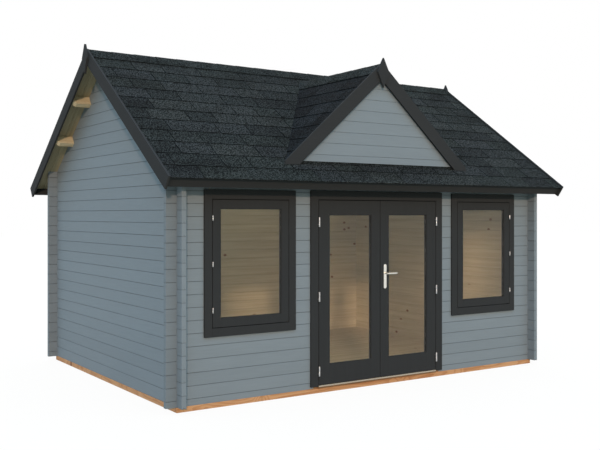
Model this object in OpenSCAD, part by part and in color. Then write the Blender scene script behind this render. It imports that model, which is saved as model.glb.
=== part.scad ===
// Log-built garden house: cross-jointed log walls on bearers, a pitched roof on purlins,
// a small front gable over glazed double doors, and a fixed window on each side of them.
// Millimetres, +Z up, front towards -Y, origin on the ground under the middle of the house.

/* [Log walls] */
// Visible height of one log
log_h = 113; // [100:1:140]
// Thickness of a log
log_t = 44; // [34:1:60]
// Width over the outer faces of the two gable walls
wall_w = 4450; // [4300:10:5200]
// Depth over the outer faces of the front and back walls
wall_d = 3260; // [2900:10:3600]
// How far a log runs on past its corner joint
log_ext = 100; // [70:1:120]
// Chamfer along the long edges of a log
log_chamfer = 3.5; // [2:0.5:5]
// Width of the tongue at its root
tongue_w = 16; // [12:1:20]
// Height of the tongue
tongue_h = 8; // [6:1:10]
// Taper on each side of the tongue
tongue_taper = 1.5; // [0.5:0.5:3]
// Extra depth of the groove over the tongue
groove_slack = 1.5; // [1:0.5:3]
// Log courses under the heads of the doors and windows
head_course = 17; // [16:1:19]
// Log courses under the window sills
sill_course = 6; // [4:1:7]

/* [Base and floor] */
// Height of the foundation bearers
bearer_h = 48; // [40:1:60]
// Width of the foundation bearers
bearer_w = 70; // [60:1:90]
// Width of a floor joist
joist_w = 45; // [40:1:60]
// Number of floor joists
joist_count = 8; // [6:1:10]
// Thickness of the floor boards
floor_t = 19; // [16:1:24]
// Room left between floor and walls
floor_margin = 6; // [3:1:12]

/* [Roof] */
// Pitch of the main roof in degrees
roof_pitch = 35; // [33:0.5:37]
// Height of the shingles over the head log's underside, above the outer face of the front wall
eaves_rise = 296; // [280:1:340]
// Overhang of the bargeboards past the front and back walls, measured level
eaves_over = 291; // [250:1:340]
// Overhang of the bargeboards past the gable walls
gable_over = 215; // [180:5:260]
// Thickness of the roof boards
roof_board_t = 19; // [16:1:24]
// Thickness of the shingle layer
shingle_t = 8; // [6:1:12]
// How far the shingles stop short of the end of the bargeboards
shingle_inset = 5; // [2:1:12]
// How far the shingles hang past the fascia
shingle_drip = 28; // [15:1:40]
// Width of a ridge cap down each slope
ridge_cap_w = 150; // [120:5:200]
// Thickness of the ridge cap
ridge_cap_t = 5; // [4:1:8]
// Width of the bargeboards
barge_w = 130; // [115:1:150]
// Thickness of the bargeboards
barge_t = 20; // [16:1:26]
// Height of the bargeboards over the shingles, square to the slope
barge_rise = 16; // [8:1:24]
// Width of the fascia boards
fascia_w = 101; // [80:1:110]
// Thickness of the fascia boards
fascia_t = 20; // [16:1:26]
// Width of a purlin
purlin_w = 58; // [50:1:70]
// Depth of a purlin
purlin_d = 100; // [90:1:112]
// Distance down the slope from the ridge to the first purlin
purlin_first = 677; // [640:1:710]
// Spacing of the purlins down the slope
purlin_gap = 660; // [640:1:690]
// Depth of the ridge beam below the roof boards
ridge_beam_d = 112; // [106:1:116]
// Splay on the lower ends of the purlins
purlin_splay = 40; // [25:1:50]
// Width of a finial
finial_w = 145; // [120:1:160]
// Height of a finial over its widest place
finial_up = 143; // [120:1:160]
// Height of a finial under its widest place
finial_down = 157; // [130:1:180]
// Thickness of a finial
finial_t = 22; // [16:1:28]
// Height of a finial's tip over the top of the bargeboards
finial_rise = 45; // [35:1:60]

/* [Front gable] */
// Pitch of the front gable in degrees
gable_pitch = 41.5; // [40:0.5:43]
// Height of the main ridge over the ridge of the front gable
gable_drop = 150; // [100:5:200]
// Overhang of its bargeboards past the front wall
gable_reach = 55; // [45:1:90]
// How far the feet of its bargeboards are cut back from where its slopes meet the main roof
gable_foot = 14; // [5:1:40]
// Thickness of the boarded panel
panel_t = 19; // [15:1:25]

/* [Windows] */
// Width of the wall between the corner of the house and a window's casing
corner_pier = 272.5; // [240:0.5:320]
// Width of the wall between the door casing and a window's casing
door_pier = 157.5; // [130:0.5:180]
// How far both windows stand to the left of places that mirror each other
window_shift = 14; // [0:1:20]
// Bottom of the clear opening over the sill log
window_sill = 33.5; // [30:0.5:60]
// Space from the clear opening up to the head log
window_head = 71.5; // [60:0.5:75]
// Width of the frame at the sides
frame_w = 40; // [36:1:50]
// Width of the stop that the sash closes on
stop_w = 14; // [12:1:18]
// Width of a sash member
sash_w = 80; // [70:1:90]
// Thickness of a sash or a door leaf
sash_t = 42; // [38:1:46]
// Gap round a sash
sash_gap = 6; // [3:0.5:8]
// Thickness of the glass
glass_t = 6; // [4:1:8]
// Depth of the groove that holds the glass
glass_groove = 10; // [8:1:14]
// Depth of the glass behind the face of its sash or leaf
glass_set = 12; // [8:1:18]
// Width of the casing boards at the sides and below
casing_w = 76; // [70:1:90]
// Width of the casing board over a window
casing_head_w = 85; // [75:1:95]
// Thickness of the outer casing
casing_t = 20; // [16:1:24]
// Thickness of the inner casing
inner_casing_t = 15; // [12:1:20]
// How far a sash or leaf sits behind the face of the casing
recess = 1; // [0.5:0.5:8]
// Height of a window hinge
window_hinge_h = 44; // [36:1:60]
// Radius of a window hinge
window_hinge_r = 6; // [5:0.5:7]
// Height of the lowest window hinge over the clear opening's bottom
window_hinge_low = 157; // [100:1:180]
// Drop of the middle window hinge under the middle of the opening
window_hinge_drop = 5; // [0:1:30]
// Drop of the highest window hinge under the clear opening's top
window_hinge_high = 167; // [100:1:200]
// Depth of the line between the two knuckles of a window hinge
knuckle_line = 1; // [0.5:0.5:2]

/* [Doors] */
// Half width between the door jambs
door_half = 752.5; // [740:0.5:760]
// Width of the door frame
jamb_w = 47; // [40:1:50]
// Gap round a leaf that moves
leaf_gap = 7; // [5:0.5:8]
// Gap between the two leaves where they meet
meeting_gap = 6; // [5:0.5:8]
// Underside of a leaf over the bearers
leaf_lift = 33; // [32:1:40]
// Space from the top of a leaf up to the head log
leaf_head = 72.5; // [66:0.5:80]
// Visible width of the hinge stile
stile_w = 125; // [110:1:140]
// Visible width of the meeting stile
meeting_w = 110; // [100:1:125]
// Height of the top rail
top_rail = 140; // [120:1:160]
// Height of the bottom rail
bottom_rail = 189; // [170:1:220]
// Height of the threshold
threshold_h = 26; // [20:1:27]
// Width of the door casing
door_casing_w = 86; // [78:1:92]
// Underside of the door casing over the bearers
casing_lift = 18; // [10:1:24]
// Radius of a door hinge
hinge_r = 8; // [7:0.5:9]
// Gap between a door hinge and the face of the casing
hinge_stand = 1; // [0.5:0.5:2]
// Height of a door hinge
hinge_h = 90; // [80:1:110]
// Gap between the two knuckles of a door hinge
knuckle_gap = 1; // [0.5:0.5:2]
// Radius of a hinge pin
pin_r = 4; // [3:0.5:5]
// Running clearance round a hinge pin
pin_play = 0.3; // [0.2:0.05:0.5]
// Radius of the spur that fastens half a hinge
spur_r = 3.5; // [3:0.5:4]
// Height of the lowest hinge over the bottom of the leaf
hinge_low = 130; // [110:2:200]
// Drop of the middle hinge under the middle of the leaf
hinge_drop = 40; // [0:2:60]
// Drop of the highest hinge under the top of the leaf
hinge_high = 208; // [150:2:240]

/* [Door lever] */
// Height of the lever's axis over the ground
lever_z = 1116; // [1080:2:1150]
// Distance from the axis to the end of the lever
lever_len = 125; // [110:1:140]
// Radius of the lever bar
lever_r = 8; // [7:0.5:10]
// Distance from the plate to the middle of the lever bar
lever_stand = 45; // [38:1:50]
// Radius of the neck that carries the bar
neck_r = 9; // [8:0.5:11]
// Radius of the spindle through the leaf
spindle_r = 5; // [4:0.5:6]
// Width of a handle plate
plate_w = 34; // [30:1:40]
// Height of a handle plate
plate_h = 244; // [220:2:260]
// Thickness of a handle plate
plate_t = 8; // [6:1:10]
// Height of the lever's axis over the middle of the plate
plate_shift = 31; // [20:1:50]

/* [Hidden] */
$fn = 48;

// Finishes
paint = [0.46, 0.51, 0.54];
trim = [0.21, 0.22, 0.22];
pine = [0.78, 0.62, 0.42];
tile = [0.16, 0.18, 0.19];
pane = [0.75, 0.85, 0.88, 0.4];
steel = [0.75, 0.75, 0.73];
pale = [0.80, 0.78, 0.72];

// Gap left between pieces that seat on each other
seat = 0.3;
// Overlap of a cutting shape past the face it cuts
past = 1;
// Reach of a cutting shape that has to clear the whole house
far = 3 * wall_w;

front_y = -wall_d / 2;
wall_z = bearer_h + seat;
// Front and back walls start with half a log, gable walls with a whole one
function front_log_z(k) = wall_z + (k - 0.5) * log_h;
function gable_log_z(j) = wall_z + j * log_h;
head_z = front_log_z(head_course);
sill_z = front_log_z(sill_course);
// Depth of a corner notch, which leaves the middle half of a log
notch = log_h / 4 + seat / 2;

// Main roof: a point s down the slope from the ridge and n square to it, as [y, z] on the back slope
ridge_z = head_z + eaves_rise + wall_d / 2 * tan(roof_pitch);
rake_len = (wall_d / 2 + eaves_over) / cos(roof_pitch);
function slope_point(s, n) =
    [s * cos(roof_pitch) + n * sin(roof_pitch), ridge_z - s * sin(roof_pitch) + n * cos(roof_pitch)];
// Distance down the slope at which the layer at height n reaches the distance y from the ridge line
function slope_at(y, n) = (y - n * sin(roof_pitch)) / cos(roof_pitch);
function roof_z(y, n) = ridge_z + n / cos(roof_pitch) - abs(y) * tan(roof_pitch);
board_top_n = -shingle_t;
board_low_n = board_top_n - roof_board_t;
under_n = board_low_n - seat;
shingle_end = rake_len - shingle_inset;
fascia_end = shingle_end - shingle_drip;
board_end = fascia_end - fascia_t - seat;
barge_x = wall_w / 2 + gable_over;
roof_x = barge_x - barge_t - seat;
// Courses that reach up to the roof boards
front_courses = ceil((roof_z(front_y + log_t, under_n) - wall_z) / log_h + 0.5);
gable_courses = ceil((roof_z(0, under_n) - wall_z) / log_h);

// Front gable, with its ridge along Y
gable_face_y = front_y - gable_reach;
gable_board_y = gable_face_y + barge_t + seat;
gable_ridge_z = ridge_z - gable_drop;
// Distance from its middle at which its shingles meet those of the main roof, under its bargeboards
gable_meet = (gable_ridge_z - roof_z(gable_face_y, 0)) / tan(gable_pitch);
gable_half_w = gable_meet - gable_foot;
gable_run = gable_meet / cos(gable_pitch) + barge_w;
function gable_point(s, n) = [
    s * cos(gable_pitch) + n * sin(gable_pitch),
    gable_ridge_z - s * sin(gable_pitch) + n * cos(gable_pitch)
];
function gable_slope_at(x, n) = (x - n * sin(gable_pitch)) / cos(gable_pitch);

// Doors and windows
casing_y = front_y - casing_t;
sash_y = casing_y + recess;
inner_y = front_y + log_t;
leaf_back = sash_y + sash_t;
glass_y = sash_y + glass_set;
door_out = door_half + door_casing_w;
door_open = door_half + jamb_w + seat;
leaf_low = bearer_h + leaf_lift;
leaf_high = head_z - leaf_head;
leaf_out = door_half - leaf_gap;
leaf_in = meeting_gap / 2;
door_head = leaf_high + leaf_gap;
hinge_x = door_half - leaf_gap / 2;
hinge_y = casing_y - hinge_r - hinge_stand;
hinge_levels = [leaf_low + hinge_low, (leaf_low + leaf_high) / 2 - hinge_drop, leaf_high - hinge_high];
lever_x = leaf_in + meeting_w / 2;
// Clear opening of the right window between its two piers, before both windows are moved to the left
window_x0 = door_out + door_pier + casing_w;
window_x1 = wall_w / 2 - corner_pier - casing_w;
window_low = sill_z + window_sill;
window_high = head_z - window_head;

// A box between two corners
module box(a, b) {
    translate(a) cube(b - a);
}

// A profile drawn in Y and Z, carried along X
module along_x(x0, x1) {
    translate([x0, 0, 0]) rotate([90, 0, 90]) linear_extrude(x1 - x0) children();
}

// A profile drawn in X and Z, carried along Y
module along_y(y0, y1) {
    translate([0, y1, 0]) rotate([90, 0, 0]) linear_extrude(y1 - y0) children();
}

// Section of a log: chamfered edges, a tongue on top and a groove below
module log_section() {
    half = tongue_w / 2;
    top = log_h - seat;
    mid = log_t / 2;
    groove = tongue_h + groove_slack;
    polygon([
        [0, log_chamfer], [log_chamfer, 0],
        [mid - half - seat, 0], [mid - half - seat + tongue_taper, groove],
        [mid + half + seat - tongue_taper, groove], [mid + half + seat, 0],
        [log_t - log_chamfer, 0], [log_t, log_chamfer],
        [log_t, top - log_chamfer], [log_t - log_chamfer, top],
        [mid + half, top], [mid + half - tongue_taper, top + tongue_h],
        [mid - half + tongue_taper, top + tongue_h], [mid - half, top],
        [log_chamfer, top], [0, top - log_chamfer]
    ]);
}

// The two notches that leave the middle half of a log where it crosses another
module corner_notches(x, z) {
    half = log_t / 2 + seat;
    top = z + log_h;
    box([x - half, -past, z - past], [x + half, log_t + past, z + notch]);
    box([x - half, -past, top - notch], [x + half, log_t + past, top + tongue_h + past]);
}

// One log from x0 to x1 with its bottom at z, notched at the corners of a wall of the given span
module wall_log(x0, x1, z, span) {
    difference() {
        translate([0, 0, z]) along_x(x0, x1) log_section();
        for (side = [-1, 1]) corner_notches(side * (span - log_t) / 2, z);
    }
}

// Everything under the roof boards, less what is below the wall base
module under_roof() {
    reach = wall_d;
    along_x(-far, far) polygon([
        [-reach, wall_z], [reach, wall_z], [reach, roof_z(reach, under_n)],
        [0, roof_z(0, under_n)], [-reach, roof_z(reach, under_n)]
    ]);
}

// Courses of a front or back wall between two ends, with its outer face on y = 0
module front_courses_between(k0, k1, x0, x1) {
    for (k = [k0 : k1]) wall_log(x0, x1, front_log_z(k), wall_w);
}

module on_front() {
    translate([0, front_y, 0]) children();
}

// Front wall on the right of the doors, up to their heads and cut out for a window moved by shift
module front_wall_side(shift) {
    window_cut = [
        [window_x0 + shift - frame_w, front_y - past, sill_z - seat],
        [window_x1 + shift + frame_w, inner_y + past, head_z + tongue_h + past]
    ];
    color(paint) difference() {
        intersection() {
            on_front() front_courses_between(0, head_course - 1, door_open, wall_w / 2 + log_ext);
            under_roof();
        }
        box(window_cut[0], window_cut[1]);
    }
}

module front_wall_left() {
    mirror([1, 0, 0]) front_wall_side(window_shift);
}

module front_wall_right() {
    front_wall_side(-window_shift);
}

module front_wall_head() {
    end = wall_w / 2 + log_ext;
    color(paint) intersection() {
        on_front() front_courses_between(head_course, front_courses - 1, -end, end);
        under_roof();
    }
}

module back_wall() {
    end = wall_w / 2 + log_ext;
    color(paint) intersection() {
        rotate([0, 0, 180]) on_front() front_courses_between(0, front_courses - 1, -end, end);
        under_roof();
    }
}

// Gable wall on the left, its upper logs cut to the roof and notched for the purlins
module gable_wall() {
    end = wall_d / 2 + log_ext;
    color(paint) difference() {
        intersection() {
            rotate([0, 0, -90]) translate([0, -wall_w / 2, 0])
                for (j = [0 : gable_courses - 1]) wall_log(-end, end, gable_log_z(j), wall_d);
            under_roof();
        }
        purlin_slots();
    }
}

module left_gable_wall() {
    gable_wall();
}

module right_gable_wall() {
    mirror([1, 0, 0]) gable_wall();
}

// Bearers under the walls, the front and back ones running through
module foundation_bearers() {
    color(pine) {
        for (side = [-1, 1]) {
            translate([-wall_w / 2, side * (wall_d - bearer_w) / 2 - bearer_w / 2, 0])
                cube([wall_w, bearer_w, bearer_h]);
            translate([side * (wall_w - bearer_w) / 2 - bearer_w / 2, -wall_d / 2 + bearer_w + seat, 0])
                cube([bearer_w, wall_d - 2 * (bearer_w + seat), bearer_h]);
        }
    }
}

module floor_joists() {
    inner = wall_w - 2 * bearer_w;
    bay = inner / (joist_count + 1);
    end = wall_d / 2 - bearer_w - seat;
    color(pine) for (i = [1 : joist_count])
        translate([i * bay - inner / 2, 0, 0])
            box([-joist_w / 2, -end, 0], [joist_w / 2, end, bearer_h]);
}

module floor_boards() {
    x = wall_w / 2 - log_t - floor_margin;
    y = wall_d / 2 - log_t - floor_margin;
    color(pine) box([-x, -y, bearer_h + seat], [x, y, bearer_h + seat + floor_t]);
}

// Section of a purlin that stands square to the back slope, s down from the ridge
module purlin_section(s, slack) {
    half = purlin_w / 2 + slack;
    low = under_n - purlin_d - slack;
    polygon([
        slope_point(s - half, low), slope_point(s + half, low),
        slope_point(s + half, under_n), slope_point(s - half, under_n)
    ]);
}

module ridge_section(slack) {
    half = purlin_w / 2 + slack;
    low = roof_z(0, under_n) - ridge_beam_d - slack;
    polygon([
        [-half, low], [half, low], [half, roof_z(half, under_n)],
        [0, roof_z(0, under_n)], [-half, roof_z(half, under_n)]
    ]);
}

// Cut that splays both ends of a timber whose underside is at [y, z], turned with its slope
module splay(underside, slope) {
    for (side = [0, 1]) mirror([side, 0, 0])
        translate([roof_x, underside[0], underside[1]]) rotate([-slope, 0, 0]) along_y(-purlin_w, purlin_w)
            polygon([
                [-purlin_splay, -past], [past, -past], [past, purlin_splay],
                [0, purlin_splay], [-purlin_splay, 0]
            ]);
}

purlin_rows = [purlin_first, purlin_first + purlin_gap];

module back_purlins() {
    color(pine) for (s = purlin_rows) difference() {
        along_x(-roof_x, roof_x) purlin_section(s, 0);
        splay(slope_point(s, under_n - purlin_d), roof_pitch);
    }
}

module front_purlins() {
    mirror([0, 1, 0]) back_purlins();
}

module ridge_beam() {
    color(pine) difference() {
        along_x(-roof_x, roof_x) ridge_section(0);
        splay([0, roof_z(0, under_n) - ridge_beam_d], 0);
    }
}

// Room for the purlins in the gable walls
module purlin_slots() {
    along_x(-far, far) ridge_section(seat);
    for (side = [0, 1]) mirror([0, side, 0])
        for (s = purlin_rows) along_x(-far, far) purlin_section(s, seat);
}

// A layer of the back slope from the ridge down to s, between the heights n0 and n1
module slope_layer(s, n0, n1) {
    along_x(-roof_x, roof_x) polygon([
        slope_point(slope_at(seat / 2, n0), n0), slope_point(s, n0),
        slope_point(s, n1), slope_point(slope_at(seat / 2, n1), n1)
    ]);
}

module back_roof_boards() {
    color(pine) slope_layer(board_end, board_low_n, board_top_n - seat);
}

module front_roof_boards() {
    mirror([0, 1, 0]) back_roof_boards();
}

module back_shingles() {
    color(tile) slope_layer(shingle_end, board_top_n, 0);
}

module front_shingles() {
    mirror([0, 1, 0]) back_shingles();
}

// Cap over the ridge, a bent strip lying on both slopes
module ridge_cap() {
    low = seat;
    high = seat + ridge_cap_t;
    side = [slope_point(ridge_cap_w, low), slope_point(ridge_cap_w, high)];
    color(tile) along_x(-roof_x, roof_x) polygon([
        [0, roof_z(0, low)], side[0], side[1],
        [0, roof_z(0, high)], [-side[1][0], side[1][1]], [-side[0][0], side[0][1]]
    ]);
}

// Fascia closing the ends of the roof boards, square to the slope
module back_fascia() {
    inside = fascia_end - fascia_t;
    high = board_top_n - seat;
    low = board_top_n - fascia_w;
    color(trim) along_x(-roof_x, roof_x) polygon([
        slope_point(inside, high), slope_point(fascia_end, high),
        slope_point(fascia_end, low), slope_point(inside, low)
    ]);
}

module front_fascia() {
    mirror([0, 1, 0]) back_fascia();
}

// Kite-shaped finial over the joint of two bargeboards, drawn about its tip
module finial_section() {
    polygon([[0, 0], [finial_w / 2, -finial_up], [0, -finial_up - finial_down], [-finial_w / 2, -finial_up]]);
}

module right_bargeboards() {
    high = barge_rise;
    low = barge_rise - barge_w;
    color(trim) {
        for (side = [0, 1]) mirror([0, side, 0]) along_x(barge_x - barge_t, barge_x) polygon([
            slope_point(slope_at(seat / 2, low), low), slope_point(rake_len, low),
            slope_point(rake_len, high), slope_point(slope_at(seat / 2, high), high)
        ]);
        along_x(barge_x + seat, barge_x + seat + finial_t)
            translate([0, roof_z(0, high) + finial_rise]) finial_section();
    }
}

module left_bargeboards() {
    mirror([1, 0, 0]) right_bargeboards();
}

// Everything below the shingles of the front slope
module under_shingles() {
    low = ridge_z - 2 * wall_d;
    along_x(-far, far) polygon([[0, roof_z(0, seat)], [-2 * wall_d, roof_z(2 * wall_d, seat)], [0, low]]);
}

// A layer of one slope of the front gable between the heights n0 and n1
module gable_layer(n0, n1) {
    polygon([
        gable_point(gable_slope_at(seat / 2, n0), n0), gable_point(gable_run, n0),
        gable_point(gable_run, n1), gable_point(gable_slope_at(seat / 2, n1), n1)
    ]);
}

module gable_slopes(n0, n1) {
    difference() {
        for (side = [0, 1]) mirror([side, 0, 0]) along_y(gable_board_y, 0) gable_layer(n0, n1);
        under_shingles();
    }
}

module gable_roof_boards() {
    color(pine) gable_slopes(board_low_n, board_top_n - seat);
}

module gable_shingles() {
    color(tile) gable_slopes(board_top_n, 0);
}

// Boarded triangle under the front gable, standing on the shingles
module gable_panel() {
    top = gable_ridge_z + under_n / cos(gable_pitch);
    low = top - gable_half_w * tan(gable_pitch);
    color(paint) difference() {
        along_y(front_y - panel_t, front_y)
            polygon([[0, top], [-gable_half_w, low], [gable_half_w, low]]);
        under_shingles();
    }
}

module gable_bargeboards() {
    high = barge_rise;
    low = barge_rise - barge_w;
    top = gable_ridge_z + high / cos(gable_pitch);
    color(trim) {
        difference() {
            for (side = [0, 1]) mirror([side, 0, 0]) along_y(gable_face_y, gable_face_y + barge_t)
                intersection() {
                    gable_layer(low, high);
                    translate([0, gable_ridge_z - far / 2]) square([gable_half_w, far]);
                }
            under_shingles();
        }
        along_y(gable_face_y - seat - finial_t, gable_face_y - seat)
            translate([0, top + finial_rise]) finial_section();
    }
}

// Four boards round an opening x0..x1 by z0..z1, the side ones running through, the upper one head_w wide
module surround(x0, x1, z0, z1, w, head_w, y0, y1) {
    box([x0 - w, y0, z0 - w], [x0, y1, z1 + head_w]);
    box([x1, y0, z0 - w], [x1 + w, y1, z1 + head_w]);
    box([x0 + seat, y0, z1], [x1 - seat, y1, z1 + head_w]);
    box([x0 + seat, y0, z0 - w], [x1 - seat, y1, z0]);
}

// Upright of a frame: x0 is its face to the opening, and its stop starts at stop_y
module frame_jamb(x0, w, z0, z1, stop_y) {
    box([x0, front_y, z0], [x0 + w, inner_y, z1]);
    box([x0 - stop_w, stop_y, z0], [x0 + past, inner_y, z1]);
}

// Head of a frame between its jambs: z0 is its face to the opening, and its stop starts at stop_y
module frame_head(x0, x1, z0, z1, stop_y) {
    inside = [x0 + stop_w + seat, x1 - stop_w - seat];
    box([x0 + seat, front_y, z0], [x1 - seat, stop_y - seat, z1]);
    box([inside[0], stop_y - past, z0], [inside[1], inner_y, z1]);
    box([inside[0], stop_y, z0 - stop_w], [inside[1], inner_y, z1]);
}

// Window frame between the cut logs, with a stop behind the sash
module window_frame() {
    low = sill_z + seat;
    high = head_z - seat;
    stop_y = leaf_back + seat;
    color(trim) {
        frame_jamb(window_x1, frame_w - seat, low, high, stop_y);
        translate([window_x0 + window_x1, 0, 0]) mirror([1, 0, 0])
            frame_jamb(window_x1, frame_w - seat, low, high, stop_y);
        frame_head(window_x0, window_x1, window_high, high, stop_y);
        mirror([0, 0, 1]) frame_head(window_x0, window_x1, -window_low, -low, stop_y);
    }
}

// Casing boards of a window between two depths
module casing_boards(y0, y1) {
    surround(window_x0, window_x1, window_low, window_high, casing_w, casing_head_w, y0, y1);
}

module window_casing() {
    color(trim) casing_boards(casing_y, front_y - seat);
    color(pine) casing_boards(inner_y + seat, inner_y + inner_casing_t);
}

// Groove for a pane with the given outer edges
module pane_groove(x0, x1, z0, z1) {
    box([x0, glass_y - seat, z0], [x1, glass_y + glass_t + seat, z1]);
}

// Glass whose visible edges are given, let into its groove all round
module pane(x0, x1, z0, z1) {
    deep = glass_groove - seat;
    color(pane) box([x0 - deep, glass_y, z0 - deep], [x1 + deep, glass_y + glass_t, z1 + deep]);
}

// Visible edges of the glass of the right window
sash_edge = sash_gap + sash_w;
window_pane = [
    window_x0 + sash_edge, window_x1 - sash_edge, window_low + sash_edge, window_high - sash_edge
];

module window_sash() {
    p = window_pane;
    color(trim) difference() {
        surround(p[0], p[1], p[2], p[3], sash_w, sash_w, sash_y, leaf_back);
        pane_groove(p[0] - glass_groove, p[1] + glass_groove, p[2] - glass_groove, p[3] + glass_groove);
    }
}

module window_glass() {
    pane(window_pane[0], window_pane[1], window_pane[2], window_pane[3]);
}

// Barrel hinges on the outer edge of a window, each with its spur into the sash
module window_hinge_row() {
    y = casing_y - window_hinge_r - seat;
    reach = sash_gap / 2 + window_hinge_r / 2;
    levels = [
        window_low + window_hinge_low,
        (window_low + window_high) / 2 - window_hinge_drop,
        window_high - window_hinge_high
    ];
    color(steel) for (z = levels) translate([window_x1 - sash_gap / 2, y, z - window_hinge_h / 2]) {
        difference() {
            cylinder(r = window_hinge_r, h = window_hinge_h);
            translate([0, 0, window_hinge_h / 2 - seat]) difference() {
                cylinder(r = window_hinge_r + past, h = 2 * seat);
                translate([0, 0, -past]) cylinder(r = window_hinge_r - knuckle_line, h = 2 * (seat + past));
            }
        }
        translate([-reach, 0, window_hinge_h * 3 / 4]) rotate([-90, 0, 0])
            cylinder(r = window_hinge_r / 3, h = sash_y - y - seat);
    }
}

// Place of a piece of the left window, drawn for the right one
module at_left_window() {
    mirror([1, 0, 0]) translate([window_shift, 0, 0]) children();
}

module at_right_window() {
    translate([-window_shift, 0, 0]) children();
}

module left_window_frame() {
    at_left_window() window_frame();
}

module right_window_frame() {
    at_right_window() window_frame();
}

module left_window_casing() {
    at_left_window() window_casing();
}

module right_window_casing() {
    at_right_window() window_casing();
}

module left_window_sash() {
    at_left_window() window_sash();
}

module right_window_sash() {
    at_right_window() window_sash();
}

module left_window_glass() {
    at_left_window() window_glass();
}

module right_window_glass() {
    at_right_window() window_glass();
}

module window_hinges() {
    at_left_window() window_hinge_row();
    at_right_window() window_hinge_row();
}

// Door frame: jambs and head with a stop behind the leaves
module door_frame() {
    stop_y = leaf_back + leaf_gap;
    high = head_z - seat;
    low = wall_z + threshold_h + seat;
    color(trim) {
        for (side = [0, 1]) mirror([side, 0, 0]) frame_jamb(door_half, jamb_w, low, high, stop_y);
        frame_head(-door_half, door_half, door_head, high, stop_y);
    }
}

// Three boards round the doorway from z0 up, between the depths y0 and y1
module doorway_boards(z0, y0, y1) {
    top = door_head + door_casing_w;
    for (side = [0, 1]) mirror([side, 0, 0]) box([door_half, y0, z0], [door_out, y1, top]);
    box([-door_half + seat, y0, door_head], [door_half - seat, y1, top]);
}

// Casing boards round the doorway, outside and inside
module door_casing() {
    color(trim) doorway_boards(bearer_h + casing_lift, casing_y, front_y - seat);
    color(pine) doorway_boards(wall_z + floor_t + 2 * seat, inner_y + seat, inner_y + inner_casing_t);
}

// Threshold under the jambs, with a nose that runs out between the casings
module door_threshold() {
    end = door_open - seat;
    nose = door_half - seat;
    color(pale) translate([0, 0, wall_z]) linear_extrude(threshold_h) polygon([
        [-nose, casing_y], [nose, casing_y], [nose, front_y], [end, front_y],
        [end, inner_y], [-end, inner_y], [-end, front_y], [-nose, front_y]
    ]);
}

// Lower half of a door hinge on the frame, with the pin that stands in the upper half
module frame_knuckle(z) {
    half = hinge_h / 2;
    translate([hinge_x, hinge_y, z - half]) {
        cylinder(r = hinge_r, h = half - knuckle_gap);
        cylinder(r = pin_r, h = hinge_h - hinge_r);
        translate([hinge_r, 0, half / 2]) rotate([-90, 0, 0])
            cylinder(r = spur_r, h = casing_y - hinge_y - seat);
        translate([0, -spur_r, half / 2 - spur_r]) cube([hinge_r, 2 * spur_r, 2 * spur_r]);
    }
}

// Upper half of a door hinge on the leaf, bored for the pin
module leaf_knuckle(z) {
    half = hinge_h / 2;
    translate([hinge_x, hinge_y, z]) {
        difference() {
            cylinder(r = hinge_r, h = half);
            translate([0, 0, -past]) cylinder(r = pin_r + pin_play, h = half - hinge_r + 2 * past);
        }
        difference() {
            translate([-hinge_r, 0, half / 2]) rotate([-90, 0, 0])
                cylinder(r = spur_r, h = sash_y - hinge_y - seat);
            translate([0, 0, -past]) cylinder(r = pin_r + pin_play, h = half);
        }
    }
}

module door_frame_hinges() {
    color(steel) for (side = [0, 1]) mirror([side, 0, 0])
        for (z = hinge_levels) frame_knuckle(z);
}

module right_door_hinges() {
    color(steel) for (z = hinge_levels) leaf_knuckle(z);
}

module left_door_hinges() {
    mirror([1, 0, 0]) right_door_hinges();
}

// Visible edges of the glass of the right leaf
leaf_pane = [leaf_in + meeting_w, leaf_out - stile_w, leaf_low + bottom_rail, leaf_high - top_rail];

// Right leaf: two stiles through, two rails between them
module door_leaf() {
    p = leaf_pane;
    difference() {
        union() {
            box([leaf_in, sash_y, leaf_low], [p[0], leaf_back, leaf_high]);
            box([p[1], sash_y, leaf_low], [leaf_out, leaf_back, leaf_high]);
            box([p[0] + seat, sash_y, p[3]], [p[1] - seat, leaf_back, leaf_high]);
            box([p[0] + seat, sash_y, leaf_low], [p[1] - seat, leaf_back, p[2]]);
        }
        pane_groove(p[0] - glass_groove, p[1] + glass_groove, p[2] - glass_groove, p[3] + glass_groove);
    }
}

module right_door_leaf() {
    color(trim) difference() {
        door_leaf();
        translate([lever_x, sash_y - past, lever_z]) rotate([-90, 0, 0])
            cylinder(r = neck_r + leaf_gap, h = sash_t + 2 * past);
    }
}

module left_door_leaf() {
    color(trim) mirror([1, 0, 0]) door_leaf();
}

module right_door_glass() {
    pane(leaf_pane[0], leaf_pane[1], leaf_pane[2], leaf_pane[3]);
}

module left_door_glass() {
    mirror([1, 0, 0]) right_door_glass();
}

// Both sides of the meeting stile: children are drawn for the outside
module both_faces() {
    mid = sash_y + sash_t / 2;
    children();
    translate([0, mid, 0]) mirror([0, 1, 0]) translate([0, -mid, 0]) children();
}

// Long plate with round ends, bored for the lever
module handle_plate() {
    r = plate_w / 2;
    mid = lever_z - plate_shift;
    difference() {
        along_y(sash_y - seat - plate_t, sash_y - seat) {
            for (end = [-1, 1]) translate([lever_x, mid + end * (plate_h / 2 - r)]) circle(r);
            translate([lever_x - r, mid - plate_h / 2 + r]) square([plate_w, plate_h - plate_w]);
        }
        translate([lever_x, sash_y + past, lever_z]) rotate([90, 0, 0])
            cylinder(r = neck_r + pin_play, h = plate_t + 2 * past + seat);
    }
}

module door_handle_plates() {
    color(steel) both_faces() handle_plate();
}

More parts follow.
